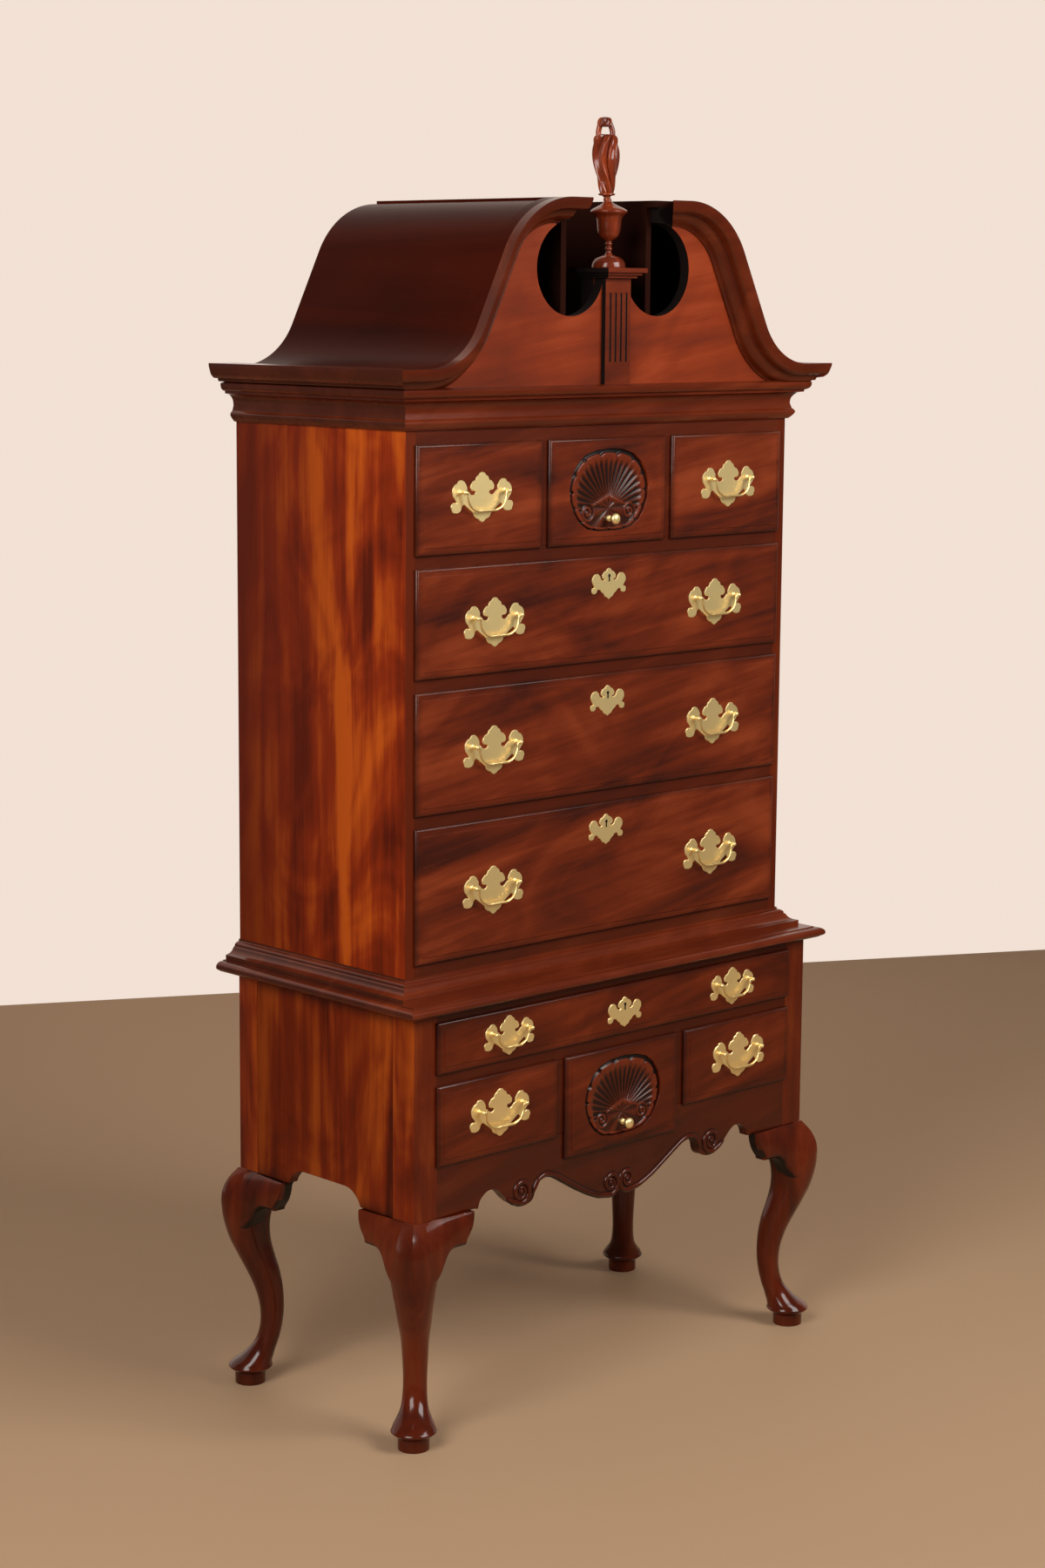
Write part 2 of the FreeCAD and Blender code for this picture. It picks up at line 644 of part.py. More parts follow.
def build_cornice():
    half, back = size("half_chest"), size("chest_depth")
    low, tall, reach = size("bed_z"), size("bed_high"), size("bed_reach")
    bed = profile_face([
        (0, low), (0.1 * reach, low + 0.01 * tall), (0.38 * reach, low + 0.17 * tall, -2),
        (0.17 * reach, low + 0.5 * tall, 3), (0.42 * reach, low + 0.66 * tall, 2),
        (0.70 * reach, low + 0.69 * tall), (0.72 * reach, low + 0.75 * tall),
        (reach, low + 0.9 * tall, -2.5), (reach, low + tall), (0, low + tall)])
    pieces = mitred_set(bed, half, 0, back, reach, 0, low, low + tall)
    top = size("crown_z")
    rows = crown_rows(0)
    rows[-1:] = [(0, rows[-2][1])]
    crown = profile_face([(out, top - drop) + tuple(more) for out, drop, *more in rows])
    crown_low = size("chest_top")
    pieces += mitred_set(crown, half, 0, back, size("crown_reach"), 0, crown_low, top, with_front=False)
    node("cornice_moulding", [feature("Cornice_%d" % i, s) for i, s in enumerate(pieces, 1)])
    neck = neck_moulding()
    node("swan_neck_mouldings", [feature("Neck_right", neck),
                                 feature("Neck_left", neck.mirror(Vector(0, 0, 0), Vector(1, 0, 0)))])


def pediment_outline():
    """The pediment board: under the necks, with a round opening on each side of the plinth."""
    inset = size("roof_drop + roof_thick")
    half, low, top = size("half_chest"), size("chest_top"), size("neck_z")
    radius, spread = size("hole_radius"), size("hole_spread")
    hole_z, cap = size("chest_top + hole_height"), size("cap_z")
    end_x = size("gap_half + cheek_thick - 1.5")
    rim = math.sqrt(radius ** 2 - (end_x - spread) ** 2)
    waist = spread - math.sqrt(radius ** 2 - (cap - hole_z) ** 2)
    right = neck_curve(inset, half, end_x)
    right += line(Vector(half, 0, size("crown_z") - inset), Vector(half, 0, low), Vector(0, 0, low))
    right += line(Vector(end_x, 0, top - inset), Vector(end_x, 0, hole_z + rim))
    right += arc(Vector(end_x, 0, hole_z + rim), Vector(spread, 0, hole_z - radius), Vector(waist, 0, cap))
    right += line(Vector(waist, 0, cap), Vector(0, 0, cap))
    left = [edge.mirror(Vector(0, 0, 0), Vector(1, 0, 0)) for edge in right]
    return right + left


def build_pediment():
    board = face(pediment_outline())
    board.translate(Vector(0, -size("pediment_stand"), 0))
    node("pediment_board", [feature("Pediment", board.extrude(Vector(0, size("board_thick"), 0)).removeSplitter())])

    stand, depth, half = size("pediment_stand"), size("chest_depth"), size("half_chest")
    drop, thick = size("roof_drop"), size("roof_thick")
    gap = size("gap_half")
    outer, inner = neck_curve(drop, half), neck_curve(drop + thick, half)
    ends = line(outer[0].Vertexes[0].Point, inner[0].Vertexes[0].Point)
    ends += line(outer[-1].Vertexes[-1].Point, inner[-1].Vertexes[-1].Point)
    sheet_face = face(outer + inner + ends)
    sheet_face.translate(Vector(0, -stand, 0))
    roof = sheet_face.extrude(Vector(0, depth + stand, 0))
    strip = block_pair("Roof_strip", "gap_half", "gap_half + neck_flat", "-pediment_stand",
                       "chest_depth", "neck_z - roof_drop", "neck_z")
    node("bonnet_roof", [feature("Roof_right", roof),
                         feature("Roof_left", roof.mirror(Vector(0, 0, 0), Vector(1, 0, 0)))] + strip)

    cheeks = block_pair("Cheek", "gap_half", "gap_half + cheek_thick", "board_back",
                        "chest_depth - cheek_thick", "chest_top", "neck_z - roof_drop - roof_thick")
    inset = size("roof_drop + roof_thick")
    right = neck_curve(inset, half, gap)
    low, cap = size("chest_top"), size("cap_z")
    right += line(Vector(half, 0, size("crown_z") - inset), Vector(half, 0, low), Vector(0, 0, low))
    right += line(Vector(gap, 0, size("neck_z") - inset), Vector(gap, 0, cap), Vector(0, 0, cap))
    left = [edge.mirror(Vector(0, 0, 0), Vector(1, 0, 0)) for edge in right]
    back = face(right + left)
    back.translate(Vector(0, depth - size("cheek_thick"), 0))
    back = back.extrude(Vector(0, size("cheek_thick"), 0)).removeSplitter()
    node("bonnet_frame", cheeks + [feature("Bonnet_back", back)])


def build_plinth():
    half = "plinth_wide / 2"
    face_y = "-pediment_stand - plinth_proud"
    shaft = block("Pilaster", "-" + half, half, face_y, "-pediment_stand", "chest_top", "cap_z")
    flutes = []
    for step in (-1.5, -0.5, 0.5, 1.5):
        flutes.append(rod("Flute_%d" % (2 * step + 3), "flute_radius", "0.65 * plinth_high",
                          "%s * flute_pitch" % step, face_y + " - 0.3 * flute_radius",
                          "chest_top + 0.21 * plinth_high"))
    pilaster = cut("Fluted_pilaster", shaft, fuse("Flutes", flutes))
    rear = block("Plinth_rear", "-" + half, half, "board_back", "board_back + plinth_wide / 2",
                 "chest_top", "cap_z")
    middle = "(board_back - pediment_stand) / 2"
    steps = []
    for name, share, low, high in (("Cap_neck", 0.37, 0, 0.28), ("Cap_cove", 0.43, 0.28, 0.55),
                                   ("Cap_slab", 0.5, 0.55, 1)):
        steps.append(block(name, "-%s * cap_wide" % share, "%s * cap_wide" % share,
                           "%s - %s * cap_wide + 5" % (middle, share), "%s + %s * cap_wide + 5" % (middle, share),
                           "cap_z + %s * cap_high" % low, "cap_z + %s * cap_high" % high))
    node("plinth", [pilaster, rear, fuse("Cap", steps)])


def build_finial():
    low, tall, wide = size("finial_z"), size("finial_high"), size("finial_radius")
    flame, swell = size("flame_high"), size("flame_radius")
    centre = Vector(0, size("(board_back - pediment_stand) / 2") + 5, 0)
    urn = tall - flame
    rows = [(0, 0), (0.84, 0), (0.84, 0.09), (0.52, 0.19), (0.22, 0.24), (0.20, 0.365), (0.56, 0.41),
            (0.70, 0.62), (1.0, 0.745), (0.92, 0.79), (0.20, 0.92), (0.38, 0.97), (0.38, 1.0), (0, 1.0)]
    points = [Vector(wide * out, 0, low + urn * up) for out, up in rows]
    edges = line(*points, points[0])
    turned = Part.Face(Part.Wire(edges)).revolve(Vector(0, 0, 0), Vector(0, 0, 1), 360)

    # The flame: a lobed section that turns as it climbs, swells and closes to a blunt tip.
    # Rows of share of height and share of the greatest radius.
    rings = []
    for up, share in ((0, 0.42), (0.25, 0.70), (0.5, 0.94), (0.72, 0.98), (0.9, 0.74), (1.0, 0.36)):
        ring = []
        for step in range(8):
            radius = swell * share * (1.0, 0.76)[step % 2]
            angle = math.radians(45 * step + size("flame_twist") * up)
            ring.append(Vector(radius * math.cos(angle), radius * math.sin(angle), low + urn + flame * up))
        rings.append(ring)
    finial = turned.fuse(faceted(rings))
    finial.translate(centre)
    node("finial", [feature("Urn_and_flame", finial)])


# ---------------------------------------------------------------- drawers and brasses


def rounded_front(name, slab):
    """The lip, with the four edges of its face rounded over."""
    doc.recompute()
    lowest = slab.Shape.BoundBox.YMin
    picked = [(i, size("lip_round"), size("lip_round")) for i, edge in enumerate(slab.Shape.Edges, 1)
              if all(abs(v.Point.y - lowest) < 0.001 for v in edge.Vertexes)]
    item = doc.addObject("Part::Fillet", name)
    item.Base = slab
    item.Edges = picked
    return item


def shell_recess(x, y, z, wide, high):
    """The dished ground of a carved shell: a rounded fan, wider than it is high."""
    spots = [(0, 0.5), (0.16, 0.485), (0.30, 0.43), (0.40, 0.33), (0.47, 0.18), (0.495, 0.04), (0.485, -0.10),
             (0.44, -0.24), (0.37, -0.36), (0.27, -0.44), (0.14, -0.47)]
    ring = [Vector(x + wide * a, y - 1, z + high * b)
            for a, b in spots + [(-a, b) for a, b in reversed(spots[1:])]]
    return Part.Face(Part.Wire(line(*ring, ring[0]))).extrude(Vector(0, 1 + size("shell_depth"), 0))


# Half of a pull's back plate as (across, up) from the pivot line, in shares of the distance
# between the posts: bottom lobe, round side lobe, ear, notch and the cusped middle lobe.
PLATE_ROWS = [(0, -0.52), (0.16, -0.46), (0.20, -0.39), (0.36, -0.31), (0.46, -0.205),
              (0.54, -0.31), (0.62, -0.36), (0.70, -0.325), (0.72, -0.24), (0.68, -0.18), (0.62, -0.165),
              (0.67, 0.02), (0.66, 0.13), (0.59, 0.19), (0.49, 0.185), (0.38, 0.12), (0.33, 0.0), (0.21, -0.045),
              (0.28, 0.02), (0.28, 0.10), (0.22, 0.17), (0.14, 0.19), (0.10, 0.28), (0, 0.32)]


def mirrored_plate(rows, scale, x, y, z, thick):
    """A thin plate from half its outline, mirrored to both sides."""
    half = [(scale * a, scale * b) for a, b in rows]
    ring = [Vector(x + a, y, z + b) for a, b in half + [(-a, b) for a, b in reversed(half[1:-1])]]
    return Part.Face(Part.Wire(line(*ring, ring[0]))).extrude(Vector(0, -thick, 0))


ESCUTCHEON_ROWS = [(0, -0.50), (0.17, -0.36), (0.30, -0.30), (0.36, -0.40), (0.42, -0.41), (0.47, -0.35),
                   (0.40, -0.21), (0.33, -0.02), (0.28, 0.01), (0.22, -0.02), (0.13, -0.14), (0.07, -0.12),
                   (0.16, -0.02), (0.15, 0.07), (0, 0.16)]


def bail_shape(centres, pivot_y, x, z):
    """A drop handle of six-sided bar: two arms that drop and bend into a level grip, and two pins."""
    radius, drop = size("bail_radius"), size("bail_drop") * centres / size("pull_centres")
    arm = centres / 2 - size("head_radius") - radius - size("arm_clear")
    bend, low = 0.62 * drop, radius - drop
    path = [(arm, radius, 0)]
    path += [(arm - bend + bend * math.cos(math.radians(turn)), low + bend - bend * math.sin(math.radians(turn)), turn)
             for turn in (0, 22.5, 45, 67.5, 90)]
    path += [(-across, up, 180 - turn) for across, up, turn in reversed(path)]
    rings = []
    for across, up, turn in path:
        outward = Vector(math.cos(math.radians(turn)), 0, -math.sin(math.radians(turn)))
        rings.append([Vector(across, 0, up) + outward * radius * math.cos(math.radians(60 * k))
                      + Vector(0, radius * math.sin(math.radians(60 * k)), 0) for k in range(6)])
    bar = faceted(rings)
    reach = centres / 2 - arm
    pin = prism(8, size("pin_radius"), Vector(0, 0, 0), reach)
    pins = [pin.copy().rotate(Vector(0, 0, 0), Vector(0, 0, 1), turn).translate(Vector(side * arm, 0, 0))
            for side, turn in ((1, -90), (-1, 90))]
    bail = bar.fuse(pins).removeSplitter()
    bail.translate(Vector(x, pivot_y, z))
    return bail


def prism(sides, radius, start, reach):
    """A prism with a flat side towards +X, from start along reach, which runs along Y."""
    ring = [start + Vector(radius * math.cos(math.radians((k + 0.5) * 360 / sides)), 0,
                           radius * math.sin(math.radians((k + 0.5) * 360 / sides))) for k in range(sides)]
    return Part.Face(Part.Wire(line(*ring, ring[0]))).extrude(Vector(0, reach, 0))


def post_shape(x, pivot_y, z, inward, end_y):
    """A post: square shank and eight-sided head, bored from its inner side for the bail's pin."""
    head, long = size("head_radius"), size("head_long")
    body = prism(4, size("shank_radius") * math.sqrt(2), Vector(x, pivot_y, z), end_y - pivot_y)
    body = body.fuse(prism(8, head / math.cos(math.radians(22.5)), Vector(x, pivot_y - long / 2, z), long))
    depth = head + size("pin_radius")
    bore = Part.makeCylinder(size("pin_radius + pin_play"), depth, Vector(x + inward * head, pivot_y, z),
                             Vector(-inward, 0, 0))
    return body.cut(bore)


def nut_shape(x, inside_y, z):
    """The square nut behind the drawer front, with the shank through it."""
    start = Vector(x, inside_y, z)
    nut = prism(4, size("nut_radius"), start, size("nut_thick"))
    return nut.cut(prism(4, size("shank_radius") * math.sqrt(2), start, size("nut_thick")))


BAILS = []


def drawer(name, left, right, low, high, case_face, depth, pulls, centres="pull_centres",
           keyhole=False, shell=False):
    """One drawer: lipped front, its box and its brasses. The bounds are those of the lip."""
    lip_back = "%s - lip_clear" % case_face
    lip_front = "%s - lip_thick" % lip_back
    field = "%s - field_step" % lip_front
    slab = block(name + "_lip", left, right, lip_front, lip_back, low, high)
    slab = rounded_front(name + "_lip_round", slab)
    raised = block(name + "_field", "%s + field_inset" % left, "%s - field_inset" % right,
                   field, "%s + lip_thick / 2" % lip_front, "%s + field_inset" % low, "%s - field_inset" % high)
    play = "lip_lap + drawer_play"
    box_left, box_right = "%s + %s" % (left, play), "%s - (%s)" % (right, play)
    floor, roof = "%s + lip_lap + running_gap" % low, "%s - (%s)" % (high, play)
    tongue_back = "%s + tongue_thick" % lip_back
    tongue = block(name + "_tongue", box_left, box_right, lip_back, tongue_back,
                   "%s + %s" % (low, play), roof)
    front = fuse(name + "_front_board", [slab, raised, tongue])
    mid_x, mid_z = "(%s + %s) / 2" % (left, right), "(%s + %s) / 2" % (low, high)
    if shell:
        wide = 0.685 * size("%s - (%s)" % (right, left))
        tall = 0.80 * size("%s - (%s)" % (high, low))
        recess = shell_recess(size(mid_x), size(field), size(mid_z), wide, tall)
        front = cut(name + "_dished", front, feature(name + "_recess", recess))
    holes = []
    span = size(centres)
    for number, (across, up) in enumerate(pulls, 1):
        for side in (-1, 1):
            middle = "%s + %s * %s / 2" % (across, side, centres)
            half = "(shank_radius + shank_play)"
            holes.append(block("%s_hole_%d%s" % (name, number, "LR"[side > 0]), "%s - %s" % (middle, half),
                               "%s + %s" % (middle, half), "%s - 5" % field, "%s + 5" % tongue_back,
                               "%s - %s" % (up, half), "%s + %s" % (up, half)))
    if holes:
        front = cut(name + "_drilled", front, fuse(name + "_holes", holes))
    node(name + "_front", [front])

    wall_top = "%s - box_clear" % roof
    stop = "%s + %s" % (tongue_back, depth)
    box = [
        block(name + "_left_side", box_left, "%s + box_side" % box_left, tongue_back, stop, floor, wall_top),
        block(name + "_right_side", "%s - box_side" % box_right, box_right, tongue_back, stop, floor, wall_top),
        block(name + "_box_back", "%s + box_side" % box_left, "%s - box_side" % box_right,
              "%s - box_side" % stop, stop, "%s + box_clear" % floor, wall_top),
        block(name + "_bottom", "%s + box_side" % box_left, "%s - box_side" % box_right,
              tongue_back, stop, "%s + box_clear - box_bottom" % floor, "%s + box_clear" % floor),
    ]
    node(name + "_box", box)

    brasses = []
    field_y, plate, pivot = size(field), size("plate_thick"), size("pivot_stand")
    inside, nut = size(tongue_back), size("nut_thick")
    for number, (across, up) in enumerate(pulls, 1):
        x, z = size(across), size(up)
        tag = "%s_pull_%d" % (name, number)
        shape = mirrored_plate(PLATE_ROWS, span, x, field_y, z, plate)
        passes = [prism(4, size("shank_radius + shank_play") * math.sqrt(2),
                        Vector(x + side * span / 2, field_y - 2 * plate, z), 3 * plate) for side in (-1, 1)]
        brasses.append(feature(tag + "_plate", shape.cut(passes)))
        for side in (-1, 1):
            at = x + side * span / 2
            post = post_shape(at, field_y - pivot, z, -side, inside + nut + 1)
            brasses.append(feature("%s_post_%d" % (tag, side + 2), post))
            brasses.append(feature("%s_nut_%d" % (tag, side + 2), nut_shape(at, inside, z)))
        BAILS.append((name, len(pulls), number, span, field_y - pivot, x, z))
    if keyhole:
        x, z, key = size(mid_x), size("%s - escutcheon_down" % high), size("key_radius")
        shape = mirrored_plate(ESCUTCHEON_ROWS, size("escutcheon_wide"), x, field_y, z, plate)
        hole = Part.makeCylinder(key, 3 * plate, Vector(x, field_y + plate, z), Vector(0, -1, 0))
        slot = Part.makeBox(key, 3 * plate, 4 * key, Vector(x - key / 2, field_y - 2 * plate, z - 4 * key))
        brasses.append(feature(name + "_escutcheon", shape.cut(hole.fuse(slot))))
        brasses.append(block(name + "_lock", "%s - lock_wide / 2" % mid_x, "%s + lock_wide / 2" % mid_x,
                             tongue_back, "%s + lock_thick" % tongue_back, "%s - lock_high" % wall_top, wall_top))
    if shell:
        knob = size("knob_radius")
        x, y = size(mid_x), size(field) + size("shell_depth")
        z = size(low) + 0.24 * size("%s - (%s)" % (high, low))
        long = size("knob_stand") + size("shell_depth")
        rings = []
        for out, up in ((0.85, 0), (0.4, 0.18), (0.4, 0.5), (0.9, 0.66), (1, 0.78), (0.7, 0.97), (0.3, 1)):
            rings.append([Vector(out * knob * math.cos(math.radians(30 * k)), -up * long,
                                 out * knob * math.sin(math.radians(30 * k))) for k in range(12)])
        turned = faceted(rings)
        turned.translate(Vector(x, y, z))
        brasses.append(feature(name + "_knob", turned))
    node(name + "_brasses", brasses)


def build_drawers():
    deep = "chest_depth - back_thick - tongue_thick - 8"
    left, right = "-(opening_half + lip_lap)", "opening_half + lip_lap"
    spread = "0.305 * (%s - (%s))" % (right, left)
    for name, low, tall in (("low_drawer", "low_z", "low_drawer"), ("mid_drawer", "mid_z", "mid_drawer"),
                            ("high_drawer", "high_z", "high_drawer")):
        level = "%s + 0.48 * %s + 8" % (low, tall)
        drawer("chest_" + name, left, right, low, "%s + %s" % (low, tall), "0", deep,
               [("-(%s)" % spread, level), (spread, level)], keyhole=True)
    lip = "top_opening + 2 * lip_lap"
    step = "top_opening + divider"
    top = "top_z + top_drawer"
    level = "top_z + 0.56 * top_drawer"
    for name, centre, shell in (("left", "-(%s)" % step, False), ("shell", "0", True), ("right", step, False)):
        pulls = [] if shell else [(centre, level)]
        drawer("chest_top_%s_drawer" % name, "%s - (%s) / 2" % (centre, lip), "%s + (%s) / 2" % (centre, lip),
               "top_z", top, "0", deep, pulls, shell=shell)

    deep = "base_depth - panel_thick - tongue_thick - 8"
    left, right = "-(base_opening_half + lip_lap)", "base_opening_half + lip_lap"
    spread = "0.318 * (%s - (%s))" % (right, left)
    level = "long_z + 0.56 * base_long + 3"
    drawer("base_long_drawer", left, right, "long_z", "long_top", "-base_step", deep,
           [("-(%s)" % spread, level), (spread, level)], centres="small_centres", keyhole=True)
    lip, step = "base_opening + 2 * lip_lap", "base_opening + base_divider"
    level = "side_z + 0.59 * base_side_drawer"
    for name, centre, low, shell in (("left", "-(%s)" % step, "side_z", False), ("shell", "0", "middle_z", True),
                                     ("right", step, "side_z", False)):
        pulls = [] if shell else [(centre, level)]
        drawer("base_%s_drawer" % name, "%s - (%s) / 2" % (centre, lip), "%s + (%s) / 2" % (centre, lip),
               low, "side_top", "-base_step", deep, pulls, shell=shell)


def build_bails():
    """Each bail is a node of its own, because each swings by itself."""
    for name, count, number, span, pivot_y, x, z in BAILS:
        side = "" if count == 1 else ("_left", "_right")[number - 1]
        shape = bail_shape(span, pivot_y, x, z)
        node(name.replace("_drawer", side + "_bail"), [feature("Bail_%s_%d" % (name, number), shape)])


build_legs()
base_runners = build_lower_case()
build_waist()
chest_runners = build_chest()
node("drawer_runners", base_runners + chest_runners)
build_chest_base_moulding()
build_cornice()
build_pediment()
build_plinth()
build_finial()
build_drawers()
build_bails()
doc.recompute()

for item in doc.Objects:
    if {"Invalid", "Error"} & set(item.State):
        raise RuntimeError("%s is %s" % (item.Name, item.State))
for item in NODES:
    if item.Shape.isNull() or not item.Shape.isValid() or not item.Shape.Solids:
        raise RuntimeError("%s has no valid shape" % item.Label)

os.makedirs("parts", exist_ok=True)
for item in NODES:
    item.Shape.exportStep("parts/%s.step" % item.Label)
print("%d nodes, %d solids" % (len(NODES), sum(len(item.Shape.Solids) for item in NODES)))
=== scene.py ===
"""A bonnet-top highboy in mahogany with brass drop pulls, dressed over its working frame."""
import math

import bmesh
import bpy
from mathutils import Matrix, Vector


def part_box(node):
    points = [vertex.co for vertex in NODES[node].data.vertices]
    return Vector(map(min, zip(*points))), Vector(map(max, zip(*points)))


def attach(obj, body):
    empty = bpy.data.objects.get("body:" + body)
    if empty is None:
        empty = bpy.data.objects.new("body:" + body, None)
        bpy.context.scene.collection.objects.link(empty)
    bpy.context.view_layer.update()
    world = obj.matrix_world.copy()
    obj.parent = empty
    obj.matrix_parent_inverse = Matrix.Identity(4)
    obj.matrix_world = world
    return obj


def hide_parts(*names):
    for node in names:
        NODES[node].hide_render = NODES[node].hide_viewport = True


bl_info = {
    "name": "Highboy",
    "version": (1, 0, 0),
    "blender": (4, 5, 0),
    "location": "View3D > Sidebar > Highboy",
    "description": "Builds a bonnet-top highboy piece by piece",
    "category": "Object",
}

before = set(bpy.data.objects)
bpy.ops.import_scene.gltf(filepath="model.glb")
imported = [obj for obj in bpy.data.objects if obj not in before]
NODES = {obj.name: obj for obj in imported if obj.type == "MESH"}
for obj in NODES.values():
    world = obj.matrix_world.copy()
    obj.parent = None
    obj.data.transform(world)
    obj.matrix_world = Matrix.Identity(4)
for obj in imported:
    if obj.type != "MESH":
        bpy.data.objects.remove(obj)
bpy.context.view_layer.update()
MM = 0.001
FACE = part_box("chest_rails")[0][1] / MM    # the chest's face; pieces are laid out from it in millimetres


def extent(node):
    """A node's lowest and highest corner in the layout's millimetres, to a thousandth of one."""
    return [Vector([round(v, 3) for v in corner / MM - Vector((0, FACE, 0))]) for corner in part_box(node)]


HALF_CHEST, CHEST_BACK, CHEST_TOP = extent("chest_carcase")[1]
CHEST_FLOOR = extent("chest_carcase")[0].z
HALF_BASE, BASE_BACK, BASE_TOP = extent("base_panels")[1]
BASE_FACE = extent("apron")[0].y
KNEE = extent("base_panels")[0].z    # the foot of the lower case, where the knees of the legs begin
POST = HALF_BASE - extent("apron")[1].x
CROWN_Z = extent("cornice_moulding")[1].z
CROWN_REACH = extent("cornice_moulding")[1].x - HALF_CHEST
NECK_Z = extent("swan_neck_mouldings")[1].z
BOARD_Y = extent("pediment_board")[0].y
FINIAL_Z, TOP_Z = extent("finial")[0].z, extent("finial")[1].z

NECK_TOP_R, NECK_FOOT_R, SLOPE = 150, 120, math.radians(64)    # a neck's two arcs, and how far each turns
GAP, FLAT = 94.5, 44.5    # half the gap between the necks, and the level stretch beside it
MITRE_BACK = GAP + CROWN_REACH + BOARD_Y    # where the mitred end of a neck meets the board


# ------------------------------------------------------------------ sizes and colours a user may change


def length(name, description, value, low, high):
    return bpy.props.FloatProperty(name=name, description=description, default=value, unit="LENGTH",
                                   min=low, max=high)


class HighboySizes(bpy.types.PropertyGroup):
    """Sizes of the small parts"""
    plate_thick: length("Plate thickness", "Thickness of the brass back plates", 0.0018, 0.0005, 0.004)
    bail_thick: length("Bail thickness", "Radius of a bail at the middle of its grip", 0.0025, 0.002, 0.005)
    bead: length("Apron bead", "Radius of the bead along the apron's edge", 0.0046, 0.0015, 0.006)
    ray_depth: length("Ray depth", "Depth of the hollows between the rays of a shell", 0.0026, 0.001, 0.006)
    edge_round: length("Edge rounding", "Radius of the eased edges of boards", 0.0012, 0.0002, 0.004)
    post_round: length("Post rounding", "Radius of the outer corner of each post", 0.004, 0.0005, 0.01)
    flame_twist: bpy.props.FloatProperty(
        name="Flame twist", description="How far the strands of the flame lean about its middle",
        default=math.radians(76), subtype="ANGLE")


def colour(name, description, value):
    return bpy.props.FloatVectorProperty(name=name, description=description, default=value, size=3,
                                         subtype="COLOR", min=0, max=1)


class HighboyColours(bpy.types.PropertyGroup):
    """Colours of the finishes and the stage"""
    front_dark: colour("Front, dark", "Dark figure of the drawer fronts", (0.040, 0.0068, 0.0034))
    front_mid: colour("Front, middle", "Ground colour of the drawer fronts", (0.112, 0.0155, 0.0040))
    front_bright: colour("Front, bright", "Bright figure of the drawer fronts", (0.20, 0.034, 0.0095))
    side_dark: colour("Side, dark", "Dark ribbons of the sides", (0.080, 0.0075, 0.0016))
    side_mid: colour("Side, middle", "Ground colour of the sides", (0.215, 0.0215, 0.0030))
    side_bright: colour("Side, bright", "Bright ribbons of the sides", (0.42, 0.072, 0.006))
    # Glaze darkens the wood's edges and joints; the same colour is the painted shade in hollows, recesses,
    # undersides and faces turned from the light
    glaze_and_shade: colour("Glaze", "Dark glaze in the hollows and along the edges", (0.012, 0.0036, 0.0024))
    inner: colour("Bare wood", "Wood of the drawer boxes and runners", (0.45, 0.29, 0.16))
    brass: colour("Brass", "Satin brass of the pulls", (0.97, 0.76, 0.35))
    floor: colour("Floor", "Floor of the stage", (0.385, 0.25, 0.15))
    wall: colour("Backdrop", "Backdrop of the stage", (0.887, 0.752, 0.658))


def front_colours():
    """The dark, middle and bright figure of the drawer fronts."""
    colours = bpy.context.scene.highboy_colours
    return colours.front_dark, colours.front_mid, colours.front_bright


# ------------------------------------------------------------------ materials


class Paint:
    """A socket of a material, so that shader maths reads as sums; paint.node adds any node."""

    def __init__(self, tree, socket=None):
        self.tree, self.socket = tree, socket

    def node(self, kind, inputs=None, output=0, **settings):
        """Adds a node, sets it up, then feeds its sockets, and gives one of its outputs."""
        node = self.tree.nodes.new(kind)
        stops = settings.pop("stops", None)
        for key, value in settings.items():
            setattr(node, key, value)
        if stops:
            while len(node.color_ramp.elements) < len(stops):
                node.color_ramp.elements.new(1)
            for element, (position, tint) in zip(node.color_ramp.elements, stops):
                element.position, element.color = position, shade(tint)
        for key, value in (inputs or {}).items():
            if isinstance(value, Paint):
                self.tree.links.new(value.socket, node.inputs[key])
            else:
                node.inputs[key].default_value = value
        return Paint(self.tree, node.outputs[output] if node.outputs else None)

    def maths(self, operation, *values, clamp=False):
        return self.node("ShaderNodeMath", dict(enumerate(values)), operation=operation, use_clamp=clamp)

    def __add__(self, other):
        return self.maths("ADD", self, other)

    def __mul__(self, other):
        return self.maths("MULTIPLY", self, other)

    def __sub__(self, other):
        return self.maths("SUBTRACT", self, other)

    def __rsub__(self, other):
        return self.maths("SUBTRACT", other, self)

    def __truediv__(self, other):
        return self.maths("DIVIDE", self, other)

    __radd__, __rmul__ = __add__, __mul__

    def absolute(self):
        return self.maths("ABSOLUTE", self)

    def power(self, other):
        return self.maths("POWER", self, other)

    def clamped(self):
        return self.maths("ADD", self, 0.0, clamp=True)

    def along(self, axis):
        """One axis of a place or a direction."""
        split = self.node("ShaderNodeSeparateXYZ", {0: self}).socket.node
        return Paint(self.tree, split.outputs["xyz".index(axis)])

    def mix(self, first, second):
        """First where this is 0 and second where it is 1; both are colours."""
        return self.node("ShaderNodeMix", {0: self, 6: first, 7: second}, output=2, data_type="RGBA")

    def coordinates(self, kind="Object"):
        """The piece's own coordinates, or the direction that its surface faces when kind is Normal."""
        return self.node("ShaderNodeTexCoord", output=kind)

    def noise(self, scale, detail, **inputs):
        """Noise over this place."""
        return self.node("ShaderNodeTexNoise", {"Vector": self, "Scale": scale, "Detail": detail, **inputs})


def shade(value, weight=1):
    """A colour for a socket, made darker or brighter by a weight."""
    return (*[v * weight for v in value], 1)


def tinted(colours, red, green=None, blue=None):
    """Colours made darker or brighter, by one weight or by one for each of red, green and blue."""
    weights = (red, red if green is None else green, red if blue is None else blue)
    return [[v * w for v, w in zip(tint, weights)] for tint in colours]


def material(name):
    """A new empty material, and the paint for its nodes."""
    made = bpy.data.materials.new(name)
    made.use_nodes = True
    made.node_tree.nodes.clear()
    return made, Paint(made.node_tree)


